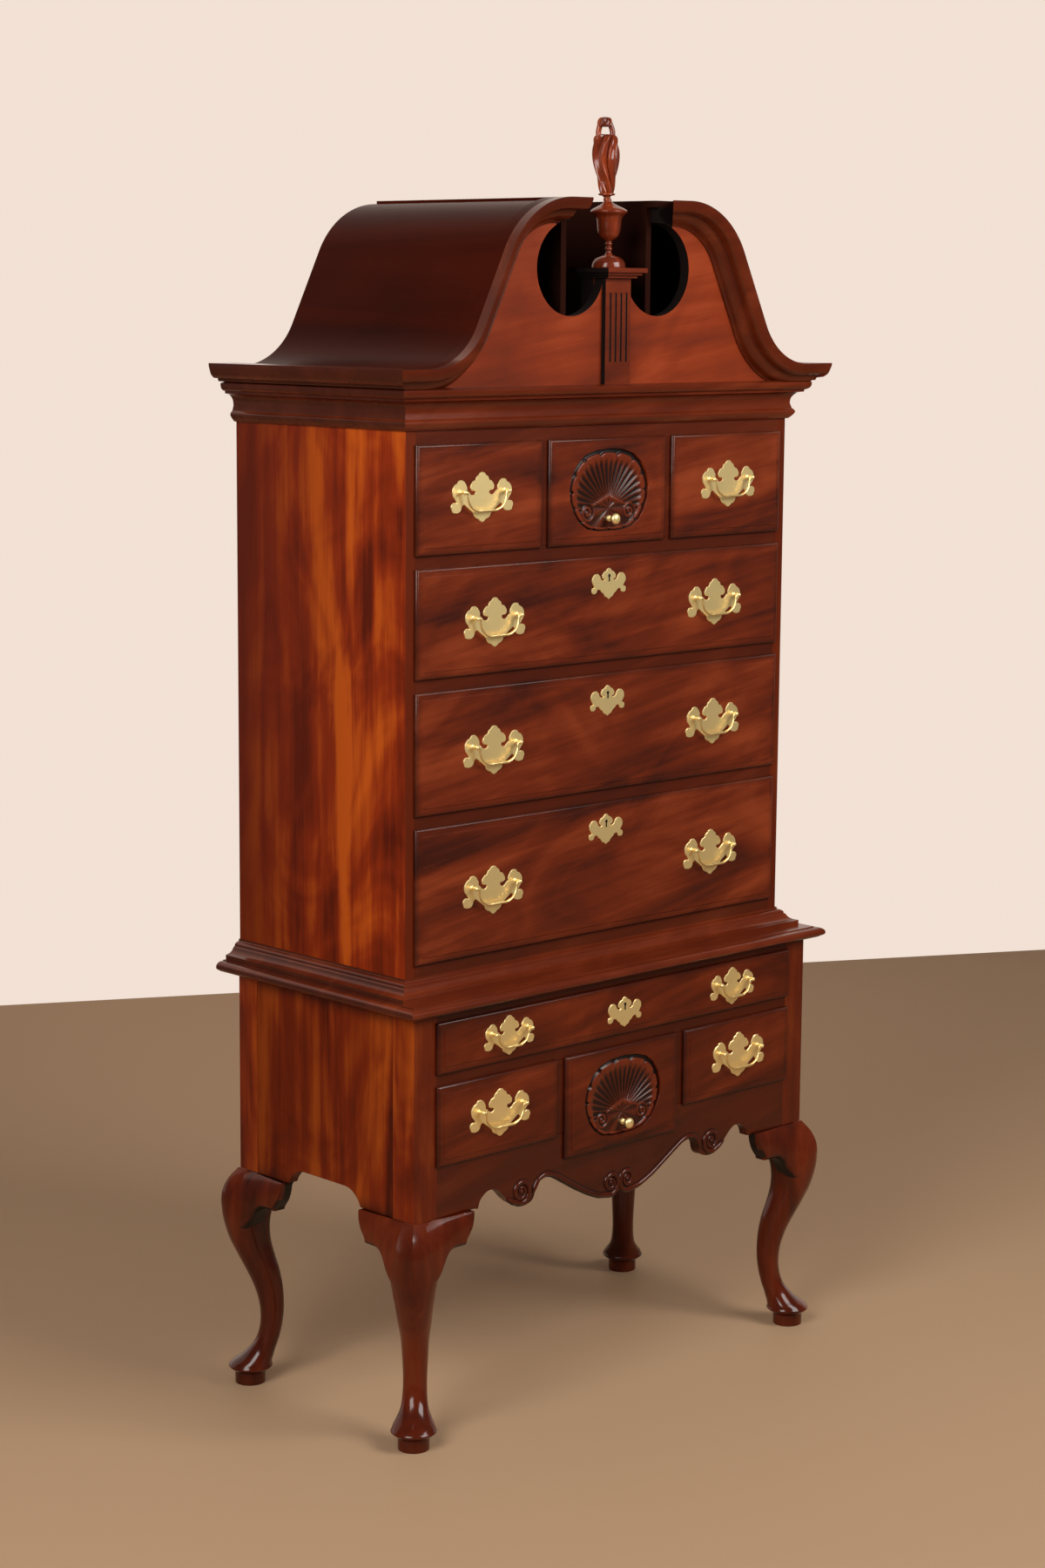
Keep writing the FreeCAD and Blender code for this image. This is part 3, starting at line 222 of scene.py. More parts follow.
def coat(paint, base, rough, coat_weight=0.0, metal=0.0, bump=None, gleam=0.3):
    """Joins a finish to the material's output."""
    inputs = {"Base Color": base, "Roughness": rough, "Metallic": metal, "Coat Weight": coat_weight,
              "Coat Roughness": 0.12, "Specular IOR Level": gleam}
    if bump is not None:
        inputs["Normal"] = bump
    surface = paint.node("ShaderNodeBsdfPrincipled", inputs)
    paint.node("ShaderNodeOutputMaterial", {"Surface": surface})


def edge_glaze(place, panel, width, strength, axes):
    """0 in the middle of a panel and strength at its edges."""
    low, high = panel
    clear = None
    for axis in axes:
        i = "xyz".index(axis)
        middle, half = (low[i] + high[i]) / 2, (high[i] - low[i]) / 2
        inside = ((half - (place.along(axis) - middle).absolute()) / width).clamped()
        clear = inside if clear is None else clear.maths("MINIMUM", clear, inside)
    return (1 - clear).power(1.6) * strength


def wood_figure(paint, place, along, size, contrast):
    """How bright the wood is, by ribbons, mottle, streaks and pores along one axis, and the pores alone."""
    lean = {"Vector": place, "Rotation": (0, 0.16, 0)}
    leaning = paint.node("ShaderNodeMapping", lean) if along == "x" else place

    def stretched(across, lengthways, detail, distortion, offset=0.0):
        scale = [across * size] * 3
        scale["xyz".index(along)] = lengthways * size
        moved = paint.node("ShaderNodeMapping", {"Vector": leaning, "Scale": scale,
                                                 "Location": (offset,) * 3})
        return moved.noise(1.0, detail, Roughness=0.55, Distortion=distortion)

    ribbon = stretched(13, 1.5, 2.5, 0.9)
    mottle = stretched(5.5, 3.4, 3.0, 1.3, 4.7)
    pores = stretched(420, 16, 2.0, 0.1, 9.1)
    streak = stretched(75, 2.2, 3.0, 0.4, 2.3)
    figure = ribbon * 0.46 + mottle * 0.34 + streak * 0.13 + pores * 0.07
    return ((figure - 0.5) * (2.6 * contrast) + 0.5).clamped(), pores


def mahogany(name, colours, along="x", size=1.0, contrast=1.0, panel=None, width=0.03, strength=0.8,
             axes="xz", rough=0.30, glossy=0.35, flat=None, seams=(), fade=None, hollow=None, facing=None):
    """Lacquered mahogany with its figure along one axis.

    It is glazed towards the edges of panel, over each seam (axis, place, half width), and all over by the
    share flat. It darkens along an axis by fade (axis, start, end, amount), has another tint on faces that
    look along an axis by facing (axis, tint, amount), and is painted in shade, dull and dark, where its
    painted-shade mask says.
    """
    made, paint = material(name)
    place = paint.coordinates()
    glaze_and_shade = bpy.context.scene.highboy_colours.glaze_and_shade
    figure, pores = wood_figure(paint, place, along, size, contrast)
    stops = list(zip((0.0, 0.5, 1.0), colours))
    tint = paint.node("ShaderNodeValToRGB", {"Fac": figure}, stops=stops)
    if panel:
        tint = edge_glaze(place, panel, width, strength, axes).mix(tint, shade(glaze_and_shade))
    if fade:
        axis, start, end, amount = fade
        far = (place.along(axis) - start) / (end - start)
        tint = (far.clamped() * amount).mix(tint, shade(colours[0]))
    if facing:
        axis, towards, amount = facing
        turned_to = paint.coordinates("Normal").along(axis)
        tint = (((turned_to * turned_to - 0.4) * 3).clamped() * amount).mix(tint, shade(towards))
    polish, sheen = pores * 0.10 + (rough - 0.05), glossy * 0.5
    # painted shade: where the mask says, the wood is darkened to the glaze's colour and dulled
    if hollow:
        mask = hollow(place)
        tint = mask.mix(tint, shade(glaze_and_shade, 0.4))
        polish, sheen = polish + mask * 0.6, (1 - mask) * sheen
    for axis, at, half_wide in seams:
        mark = (1 - (place.along(axis) - at).absolute() / half_wide).clamped() * 0.5
        tint = mark.mix(tint, shade(glaze_and_shade))
    if flat is not None:
        tint = paint.node("ShaderNodeMix", {0: flat, 6: tint, 7: shade(glaze_and_shade)}, output=2, data_type="RGBA")
    bump = paint.node("ShaderNodeBump", {"Height": pores, "Strength": 0.05, "Distance": 0.0004})
    coat(paint, tint, polish, sheen, bump=bump, gleam=0.1 + 0.15 * glossy)
    return made


def carved(name, colours, low, high):
    """Glossy carved wood, painted darker in shade the deeper its hollows lie, between low and high in y."""
    made, paint = material(name)
    place = paint.coordinates()
    depth = ((place.along("y") - low) / (high - low)).clamped()
    stops = list(zip((0.0, 0.5, 1.0), colours))
    cloud = place.noise(60.0, 3.0) * 0.5 + 0.3
    tint = depth.mix(paint.node("ShaderNodeValToRGB", {"Fac": cloud}, stops=stops),
                     shade(bpy.context.scene.highboy_colours.glaze_and_shade))
    coat(paint, tint, 0.34, 0.14, gleam=0.16)
    return made


def brass(name, rough=0.36, metal=0.84):
    """Satin brass, faintly clouded."""
    made, paint = material(name)
    place = paint.coordinates()
    base = bpy.context.scene.highboy_colours.brass
    cloud = place.noise(45.0, 4.0)
    tint = (cloud * 0.5).clamped().mix(shade(base), shade(base, 0.72))
    coat(paint, tint, cloud * 0.06 + rough, metal=metal, gleam=0.5)
    return made


def bare_wood(name):
    """Unfinished wood with its grain along y."""
    made, paint = material(name)
    place = paint.coordinates()
    base = bpy.context.scene.highboy_colours.inner
    moved = paint.node("ShaderNodeMapping", {"Vector": place, "Scale": (60.0, 4.0, 60.0)})
    grain = moved.noise(1.0, 4.0, Distortion=0.4)
    coat(paint, grain.mix(shade(base, 0.7), shade(base)), 0.65)
    return made


def dull(name, weight, rough, gleam=0.3):
    """Plain dark colour, the painted shade for places that lie in the dark."""
    made, paint = material(name)
    coat(paint, shade(bpy.context.scene.highboy_colours.glaze_and_shade, weight), rough, gleam=gleam)
    return made


def roundels(place):
    """1 where the pediment is painted in shade, as it lies in the dark: behind its face, and between the
    necks above its openings.
    """
    behind = ((place.along("y") - (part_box("pediment_board")[0].y + 0.0006)) * 4000).clamped()
    between = (((MITRE_BACK + 0.5) * MM - place.along("x").absolute()) * 2000).clamped()
    above = ((place.along("z") - (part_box("plinth")[1].z - 0.02)) * 2000).clamped()
    return 1 - (1 - behind) * (1 - between * above)


def returns(place):
    """1 where the plinth is painted in shade: on its faces that look sideways, its flutes included; 0 on its
    front.
    """
    sideways = place.coordinates("Normal").along("x")
    return (sideways * sideways * 7 - 0.5).clamped()


def wood_settings(name):
    """What mahogany is told for each of its finishes."""
    colours = bpy.context.scene.highboy_colours
    front, side = front_colours(), (colours.side_dark, colours.side_mid, colours.side_bright)
    dark, middle, bright = front
    deep = (dark, [v * 0.72 for v in middle], [v * 0.75 for v in bright])
    base = tinted(front, 0.54, 0.44, 0.30)
    between = [[(v + w) * 0.30 for v, w in zip(*pair)] for pair in zip(front, side)]
    boards = {"along": "z", "axes": "z", "width": 0.03, "strength": 0.6, "rough": 0.34}
    return {
        "chest sides": dict(boards, colours=side, contrast=2.2, panel=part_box("chest_carcase"), glossy=0.06,
                            seams=[("y", 0.086, 0.0012)], fade=("y", -0.06, 0.25, 0.85),
                            facing=("y", [v * 0.8 for v in middle], 0.9)),
        "base panels": dict(boards, colours=tinted(side, 0.68), contrast=2.1, panel=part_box("base_panels"),
                            glossy=0.08, seams=[("y", -0.078, 0.0008)], fade=("y", -0.14, 0.23, 0.5)),
        "post sides": dict(colours=tinted(side, 0.7), along="z", size=1.2, contrast=2.2, glossy=0.2),
        "post fronts": dict(colours=between, along="z", size=1.2, contrast=1.3, rough=0.28, glossy=0.3),
        "legs": dict(colours=tinted(base, 1.25), along="z", size=0.8, contrast=1.5, rough=0.17, glossy=0.5),
        "apron": dict(colours=base, rough=0.24, glossy=0.5),
        "rails": dict(colours=deep, contrast=0.8, flat=0.15),
        "base rails": dict(colours=base, contrast=0.8, flat=0.1),
        "mouldings": dict(colours=deep, contrast=0.9, rough=0.20, glossy=0.45),
        # the faces of these mouldings that look sideways are darkened towards the glaze's colour as painted
        # shade
        "cornice": dict(colours=tinted(deep, 1.2), contrast=0.9, rough=0.20, glossy=0.5,
                        facing=("x", [v * 1.6 for v in colours.glaze_and_shade], 0.62)),
        # the pediment and the plinth are painted dark as shade where roundels and returns say
        "pediment": dict(colours=tinted(front, 1.7), size=0.8, contrast=1.1, hollow=roundels),
        "plinth": dict(colours=front, size=0.8, contrast=1.1, hollow=returns),
        "roof": dict(colours=tinted(front, 0.30, 0.17, 0.08), along="y", size=0.6, contrast=0.8,
                     glossy=-0.45),
        "finial": dict(colours=tinted(front, 1.5), along="z", size=3.0, contrast=1.4, rough=0.2, glossy=0.7),
    }[name]


OTHER_FINISHES = {    # what makes each finish that isn't mahogany, and what it is told
    # groove and bonnet inside are painted shade: plain dark colour laid where shade falls
    "groove": (dull, {"weight": 0.4, "rough": 0.4}),
    "bonnet inside": (dull, {"weight": 1.7, "rough": 0.8, "gleam": 0.0}),
    "bare wood": (bare_wood, {}),
    "brass": (brass, {}),
    "brass rods": (brass, {"rough": 0.32, "metal": 1.0}),
}
MADE = {}


def finish(name):
    """The named finish, made once."""
    if name not in MADE:
        make, settings = OTHER_FINISHES.get(name) or (mahogany, wood_settings(name))
        MADE[name] = make(name, **settings)
    return MADE[name]


# ------------------------------------------------------------------ shapes


def through(points, steps=5):
    """A smooth line through points, as more points."""
    out = []
    for i in range(len(points) - 1):
        a, b, c, d = points[max(i - 1, 0)], points[i], points[i + 1], points[min(i + 2, len(points) - 1)]
        for k in range(steps):
            t = k / steps
            out.append(tuple(0.5 * (2 * q + (r - p) * t + (2 * p - 5 * q + 4 * r - s) * t * t
                                    + (3 * q - p - 3 * r + s) * t ** 3) for p, q, r, s in zip(a, b, c, d)))
    return out + [tuple(points[-1])]


def joined(points, corners, steps=5):
    """A line through points that is smooth between the numbered corners."""
    out = []
    for first, last in zip(corners, corners[1:]):
        out += through(points[first:last + 1], steps)[:-1]
    return out + [tuple(points[corners[-1]])]


def mirrored(half):
    """A closed outline from one half of it, which starts and ends at x = 0."""
    return list(half) + [(-x, z) for x, z in reversed(half[1:-1])]


def only(kind, parts):
    """Those of the parts that are of one kind."""
    return [part for part in parts if isinstance(part, kind)]


def profile(bm, points):
    """The edges of a closed ring of points."""
    verts = [bm.verts.new(point) for point in points]
    return [bm.edges.new(pair) for pair in zip(verts, verts[1:] + verts[:1])]


def carry(bm, edges, place):
    """Draws a closed profile on to the next spot of its run."""
    grown = bmesh.ops.extrude_edge_only(bm, edges=edges)["geom"]
    for vert in only(bmesh.types.BMVert, grown):
        vert.co = place(vert.co.copy())
    return [e for e in only(bmesh.types.BMEdge, grown) if e.is_boundary]


def cap(bm):
    """Fills open ends."""
    edges = [e for e in bm.edges if e.is_boundary]
    if edges:
        bmesh.ops.holes_fill(bm, edges=edges, sides=0)


def skin(bm, across, along, shape):
    """A grid of faces laid through shape(u, v); u runs round the piece and v along it."""
    verts = bmesh.ops.create_grid(bm, x_segments=across, y_segments=along, size=0.5)["verts"]
    for vert in verts:
        vert.co = shape(vert.co.x + 0.5, vert.co.y + 0.5)
    return verts


def close(bm, verts):
    """Joins the seam of a skin and fills its open ends."""
    bmesh.ops.remove_doubles(bm, verts=verts, dist=0.005)
    cap(bm)


def board(bm, outline, front, back):
    """A flat board: its outline in x and z, from front to back."""
    edges = profile(bm, [(x, front, z) for x, z in outline])
    faces = only(bmesh.types.BMFace, bmesh.ops.triangle_fill(bm, edges=edges, use_beauty=True)["geom"])
    verts = only(bmesh.types.BMVert, bmesh.ops.extrude_face_region(bm, geom=faces)["geom"])
    bmesh.ops.translate(bm, verts=verts, vec=(0, back - front, 0))
    return verts


def block(bm, corner, opposite):
    """A plain block between two opposite corners."""
    low, high = [Vector([pick(pair) for pair in zip(corner, opposite)]) for pick in (min, max)]
    size, middle = high - low, (low + high) / 2
    verts = bmesh.ops.create_cube(bm, size=1)["verts"]
    for vert in verts:
        vert.co = Vector([vert.co[i] * size[i] + middle[i] for i in range(3)])
    return verts


def turned(bm, rows, centre, axis="z", steps=40):
    """A turned piece: rows of (radius, along) spun a full turn about an axis through centre."""
    centre = Vector(centre)
    lean = {"z": Matrix.Identity(3), "y": Matrix(((1, 0, 0), (0, 0, -1), (0, 1, 0)))}[axis]
    verts = [bm.verts.new(centre + lean @ Vector((radius, 0, along))) for radius, along in rows]
    edges = [bm.edges.new(pair) for pair in zip(verts, verts[1:])]
    bmesh.ops.spin(bm, geom=verts + edges, cent=centre, axis=lean @ Vector((0, 0, 1)), angle=math.tau,
                   steps=steps, use_merge=True)


def mitred_run(bm, rows, foot, half, front, back):
    """A moulding along the left side, the front and the right side; rows are (reach, height over foot)."""
    edges = profile(bm, [(-half - out, back, foot + up) for out, up in rows])
    edges = carry(bm, edges, lambda co: Vector((co.x, front + (co.x + half), co.z)))
    edges = carry(bm, edges, lambda co: Vector((half + (front - co.y), co.y, co.z)))
    carry(bm, edges, lambda co: Vector((co.x, back, co.z)))
    cap(bm)


def side_run(bm, rows, foot, half, back, side):
    """A moulding along one side that meets the front's at a mitre."""
    edges = profile(bm, [(side * (half + out), back, foot + up) for out, up in rows])
    carry(bm, edges, lambda co: Vector((co.x, half - abs(co.x), co.z)))
    cap(bm)


def rope(bm, path, radii, sides, flat=1):
    """A round bar along a path of points, with a radius at each; flat squeezes it from front to back."""
    path = [Vector(point) for point in path]
    last = len(path) - 1

    def shape(u, v):
        i = round(v * last)
        ahead = (path[min(i + 1, last)] - path[max(i - 1, 0)]).normalized()
        side = ahead.cross(Vector((0, 1, 0))).normalized()
        lift = side.cross(ahead)
        turn = u * math.tau
        return path[i] + (side * math.cos(turn) + lift * (math.sin(turn) * flat)) * radii[i]

    close(bm, skin(bm, sides, last, shape))


def relook(bm, chosen=None, look=1, first=0):
    """Gives faces another of the piece's looks: those that are chosen, from the first-numbered on."""
    bm.faces.ensure_lookup_table()
    for face in bm.faces[first:]:
        if chosen is None or chosen(face):
            face.material_index = look


def place(bm, name, look, body="case", instead=(), slot=None, smooth=35):
    """Puts a finished piece into the scene, on its body and instead of the nodes it stands for."""
    bmesh.ops.remove_doubles(bm, verts=bm.verts, dist=0.01)
    bmesh.ops.recalc_face_normals(bm, faces=bm.faces)
    bmesh.ops.translate(bm, verts=bm.verts, vec=(0, FACE, 0))
    bmesh.ops.scale(bm, verts=bm.verts, vec=(MM, MM, MM))
    name = name.replace(" ", "_")
    mesh = bpy.data.meshes.new(name)
    bm.to_mesh(mesh)
    bm.free()
    for one in look if isinstance(look, list) else [look]:
        mesh.materials.append(one if isinstance(one, bpy.types.Material) else finish(one))
    for polygon in mesh.polygons:
        polygon.use_smooth = True
    mesh.set_sharp_from_angle(angle=math.radians(smooth))
    piece = bpy.data.objects.new(name, mesh)
    bpy.context.scene.collection.objects.link(piece)
    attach(piece, body)
    if instead:
        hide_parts(*instead)


def dress(node, look, ease=None):
    """Gives a node of the frame its finish, and eases its edges."""
    piece = NODES[node]
    piece.data.materials.clear()
    piece.data.materials.append(look if isinstance(look, bpy.types.Material) else finish(look))
    if ease:
        weld = piece.modifiers.new("Weld", "WELD")
        weld.merge_threshold = 0.00001
        rounding = piece.modifiers.new("Ease", "BEVEL")
        rounding.width, rounding.segments, rounding.limit_method = ease, 2, "ANGLE"
        rounding.angle_limit, rounding.harden_normals = math.radians(40), True


# ------------------------------------------------------------------ legs and brackets

LEG_ROWS = [    # height, outer and inner edge along the diagonal, half width, squareness
    (389.5, 0, -72, 36, 1.0), (388.6, 2.6, -72, 36.5, 1.0), (386.5, 4.2, -71.5, 37, 1.02),
    (371, 18.7, -70, 37.4, 1.1), (350, 29.7, -66, 37.8, 1.22), (327, 32.5, -60, 37.5, 1.35),
    (297, 29.4, -53, 39.4, 1.5), (266, 20.4, -53, 35.4, 1.6), (236, 6, -59.5, 31.2, 1.75),
    (206, -9.9, -68.5, 27.6, 1.85), (177, -23.4, -74, 23.8, 1.9), (148, -32.2, -76, 22, 2),
    (120, -34.8, -75, 20.6, 2), (98, -32.4, -71.5, 20.3, 2), (78, -25.5, -66.5, 21.2, 2),
    (62, -13.5, -61, 23.8, 2), (50, -0.5, -57.5, 29.2, 2), (41, 12.2, -55, 34.6, 2),
    (35.5, 18.6, -54.4, 36.8, 2), (32.5, 21.2, -55.2, 38.4, 2), (31, 21.5, -55.4, 38.6, 2),
    (29.6, 21.1, -54.9, 38.1, 2), (25.5, 16.5, -50.5, 33.2, 2), (21.5, 11.6, -44.4, 28.2, 2),
    (20, 10.4, -43, 26.9, 2)]
LEG_LINE = through(LEG_ROWS, 4)
FOOT_DISC = [(0, 0), (25.6, 0), (26.6, 1), (26.6, 20), (0, 20)]
DISC_INSET = 16.2    # along the diagonal from the post's corner to the middle of the disc
DIAGONAL = math.sqrt(0.5)    # how far a step of 1 along the diagonal leads to the side and to the front

BRACKET_EDGE = [    # how far along the case from the post's corner, and height
    (20, 274), (34, 283), (43, 294), (51, 306.5), (58, 318), (66, 327), (75, 332.6), (84, 334.4),
    (97, 334.4), (105.6, 334.4), (106.6, 339), (111, 344.5), (119, 356), (125, 372), (126.5, 384),
    (125, 389)]
BRACKET_START, BRACKET_TIP = BRACKET_EDGE[0][0], BRACKET_EDGE[-2][0]
BRACKET_LINE = joined(BRACKET_EDGE, [0, 9, 10, 15], 4)
BRACKET_FACE = 0.75    # the share of a bracket's section that is its face
BRACKET_BACK = -14    # how far its back lies behind the case's face
TIP_OUT, TIP_SWELL, TIP_RISE = 10, 4, 30    # its tip stands out, and swells over this height below its top
TIP_EDGE, ROOT_EDGE = 9, 20    # the radius of its lower edge at its tip and at the leg
TOP_EASE, TOP_STEP = 2, 1.4    # its top edge is eased over this height, by this much
CURL = KNEE - 18    # below this, what turns under lies in the dark
SEAM, KNEE_REACH = 1.5, 34    # how deep inside the case, and how far past the knee, it lies in the dark too


def leg_ring(row, turn):
    """How far a leg's surface lies outward to the side and to the front of its post's corner."""
    _, outer, inner, half, power = row
    along, across = math.cos(turn), math.sin(turn)
    grown = (abs(along) ** power + abs(across) ** power) ** (-1 / power)
    out, aside = (outer + inner) / 2 + (outer - inner) / 2 * along * grown, half * across * grown
    return (out + aside) * DIAGONAL, (out - aside) * DIAGONAL


def beside(row, steps=90):
    """How far a row of the leg stands in front of the case where the brackets start."""
    for i in range(steps):
        sideways, forward = leg_ring(row, -math.pi * i / steps)
        if -sideways > BRACKET_START:
            return forward
    return 0


LEG_FRONTS = [(row[0], beside(row)) for row in LEG_LINE]


def leg_front(high):
    """How far the leg stands out there at a height, which lies between two of its rows."""
    for (above, out), (below, further) in zip(LEG_FRONTS, LEG_FRONTS[1:]):
        if above >= high >= below and above > below:
            return out + (further - out) * (above - high) / (above - below)


def bracket_out(z, low, far):
    """How far a bracket's face stands in front of the case, far of the way to its tip."""
    tip = TIP_OUT + TIP_SWELL * math.sin(math.pi / 2 * min(1, (KNEE - z) / TIP_RISE))
    out = tip + (leg_front(z) - tip) * (1 - far) ** 1.2
    edge = TIP_EDGE + (ROOT_EDGE - TIP_EDGE) * (1 - far) ** 2
    near = max(0, 1 - (z - low) / edge)
    out -= edge * (1 - math.sqrt(max(0, 1 - near * near)))
    if z > KNEE - TOP_EASE:
        out -= TOP_STEP * (1 - (KNEE - z) / TOP_EASE) ** 2
    return out


def bracket_section(u, low, far):
    """A point of a bracket's section, which runs down its face and back up behind the case's own face."""
    if u <= BRACKET_FACE:
        z = KNEE - (KNEE - low) * math.sin(math.pi / 2 * u / BRACKET_FACE)
        return bracket_out(z, low, far), z
    w = (u - BRACKET_FACE) / (1 - BRACKET_FACE)
    out = BRACKET_BACK if 0.3 < w < 0.99 else min(bracket_out(low, low, far), 2)
    return out, low if w < 0.67 else KNEE


def in_shade(face):
    """Whether a bracket's face curls under or lies inside the case, so that it is painted dark as shade."""
    middle = face.calc_center_median()
    if abs(face.normal.z) > 0.45 and middle.z < CURL:
        return True
    across, along = HALF_BASE - abs(middle.x), min(middle.y - BASE_FACE, BASE_BACK - middle.y)
    return min(across, along) > SEAM and max(across, along) > KNEE_REACH


def corner_spots():
    """The outer corner of each leg's post, with its direction from the case's middle."""
    return [(sx * HALF_BASE, BASE_FACE if sy < 0 else BASE_BACK, sx, sy) for sy in (-1, 1) for sx in (1, -1)]


class HIGHBOY_OT_legs(bpy.types.Operator):
    """Four cabriole legs with their posts, and the brackets beside each knee"""
    bl_idname = "highboy.legs"
    bl_label = "Legs and brackets"

    def execute(self, context):
        bm = bmesh.new()
        for x, y, sx, sy in corner_spots():
            def leg(u, v):
                row = LEG_LINE[round(v * (len(LEG_LINE) - 1))]
                sideways, forward = leg_ring(row, u * math.tau)
                return Vector((x + sx * sideways, y + sy * forward, row[0]))

            close(bm, skin(bm, 48, len(LEG_LINE) - 1, leg))
            inset = DISC_INSET * DIAGONAL
            turned(bm, FOOT_DISC, (x - sx * inset, y - sy * inset, 0))
        place(bm, "Cabriole legs", "legs", instead=["cabriole_legs"], slot="legs_and_apron", smooth=40)

        bm = bmesh.new()
        for x, y, sx, sy in corner_spots():
            verts = block(bm, (x, y, KNEE), (x - sx * POST, y - sy * POST, BASE_TOP))
            corner = [v for v in verts if abs(v.co.x - x) < 1 and abs(v.co.y - y) < 1]
            upright = [e for e in corner[0].link_edges if e.other_vert(corner[0]) in corner]
            bmesh.ops.bevel(bm, geom=upright, offset=context.scene.highboy_sizes.post_round / MM,
                            segments=4, profile=0.5, affect="EDGES", material=-1)
        relook(bm, lambda face: abs(face.normal.x) > 0.6)
        place(bm, "Posts", ["post fronts", "post sides"], slot="legs_and_apron")

        bm = bmesh.new()
        for x, y, sx, sy in corner_spots():
            for flip in (False, True):
                def bracket(u, v):
                    d, low = BRACKET_LINE[round(v * (len(BRACKET_LINE) - 1))]
                    far = max(0, min(1, (d - BRACKET_START) / (BRACKET_TIP - BRACKET_START)))
                    out, z = bracket_section(u, low, far)
                    return Vector((x + sx * out, y - sy * d, z) if flip else (x - sx * d, y + sy * out, z))

                close(bm, skin(bm, 32, len(BRACKET_LINE) - 1, bracket))
        bm.normal_update()
        # faces that curl under or lie inside the case get the groove finish: painted shade
        relook(bm, in_shade)
        place(bm, "Knee brackets", ["legs", "groove"], instead=["knee_brackets"], slot="legs_and_apron",
              smooth=45)
        return {"FINISHED"}


# ------------------------------------------------------------------ lower case

LIP = 3.5    # how far a drawer's front laps over its opening
APRON_OUTER = [(344, 389), (334, 387), (332, 394), (328, 402), (314, 412.5), (298, 413.5), (284, 406),
               (267, 389), (251, 377), (233, 371), (217, 373), (207, 379), (203, 388)]
APRON_INNER = [(203, 388), (201, 397), (194, 406), (180, 411), (165, 409), (148, 401), (113, 380), (78, 360),
               (49, 348), (30, 344.6), (14, 347), (0, 352)]
OUTER_EYE, INNER_EYE = (235, 397), (20, 369.5)    # the middles of the apron's scrolls
BEAD_TAIL = 36    # points over which the bead thins into its scroll


def volute(x, z, radius, start, turns, power):
    """Points of a scroll that winds inward from its outer end, which is the way its turns run."""
    count = round(26 * abs(turns))
    points = []
    for i in range(count + 1):
        t = i / count
        r, turn = radius * (1 - 0.82 * t ** power), start + math.tau * turns * t
        points.append((x + r * math.cos(turn), z + r * math.sin(turn)))
    return points


def bead_radii(bead, count):
    """The radius of the bead at each of its points: it swells at its start and thins into its scroll."""
    radii = []
    for i in range(count):
        wound = max(0, i - count + BEAD_TAIL) / BEAD_TAIL
        radii.append(bead * (1 - 0.45 * wound) * min(1, 0.45 + i / 8))
    return radii


class HIGHBOY_OT_lower_case(bpy.types.Operator):
    """Panels, rails and the shaped apron of the lower case"""
    bl_idname = "highboy.lower_case"
    bl_label = "Lower case"

    def execute(self, context):
        sizes = context.scene.highboy_sizes
        dress("base_panels", "base panels", sizes.edge_round)
        dress("base_rails", "base rails", sizes.edge_round)
        dress("drawer_runners", "bare wood")
        low, high = extent("apron")
        middle_low, middle_high = extent("base_shell_drawer_front")
        notch, sill = middle_high.x - LIP, middle_low.z + LIP
        side_sill = extent("base_left_drawer_front")[0].z + LIP
        half = joined(APRON_OUTER, [0, 1, 12], 4)[:-1] + through(APRON_INNER, 4)
        outline = [(0, sill), (-notch, sill), (-notch, side_sill), (low.x, side_sill), (low.x, KNEE)]
        bm = bmesh.new()
        board(bm, mirrored(outline + [(-x, z) for x, z in half]), low.y, high.y)
        place(bm, "Apron", "apron", instead=["apron"], slot="legs_and_apron")

        bead = sizes.bead / MM
        outer = through([(268, 391.5), (262, 387.5), (252, 382)], 3)
        outer += volute(*OUTER_EYE, 20.5, -0.85, -1.9, 1.3)
        inner = through([(207, 388), (204.5, 396)] + [(x, z + bead + 0.6) for x, z in APRON_INNER[1:9]], 4)
        inner += volute(*INNER_EYE, 21, -math.pi / 2, -1.8, 0.8)
        bm = bmesh.new()
        for side in (-1, 1):
            for line in (outer, inner):
                path = [(side * x, low.y, z) for x, z in line]
                radii = bead_radii(bead, len(path))
                rope(bm, path, radii, 12)
                # a flat band a little wider than the bead, just behind it, in the groove finish: a painted
                # shadow around the bead
                first = len(bm.faces)
                rope(bm, [(x, y + 0.1, z) for x, y, z in path], [r + 1.5 for r in radii], 8, flat=0.12)
                relook(bm, first=first)
        for (x, z), radius in ((OUTER_EYE, 4.2), (INNER_EYE, 3.8)):
            for side in (-1, 1):
                turned(bm, through([(0, 4.2), (radius * 0.6, 3.5), (radius, 1.2), (radius, -1)], 3),
                       (side * x, low.y, z), "y", 20)
        place(bm, "Apron bead", ["apron", "groove"], slot="legs_and_apron", smooth=50)
        return {"FINISHED"}


# ------------------------------------------------------------------ mouldings

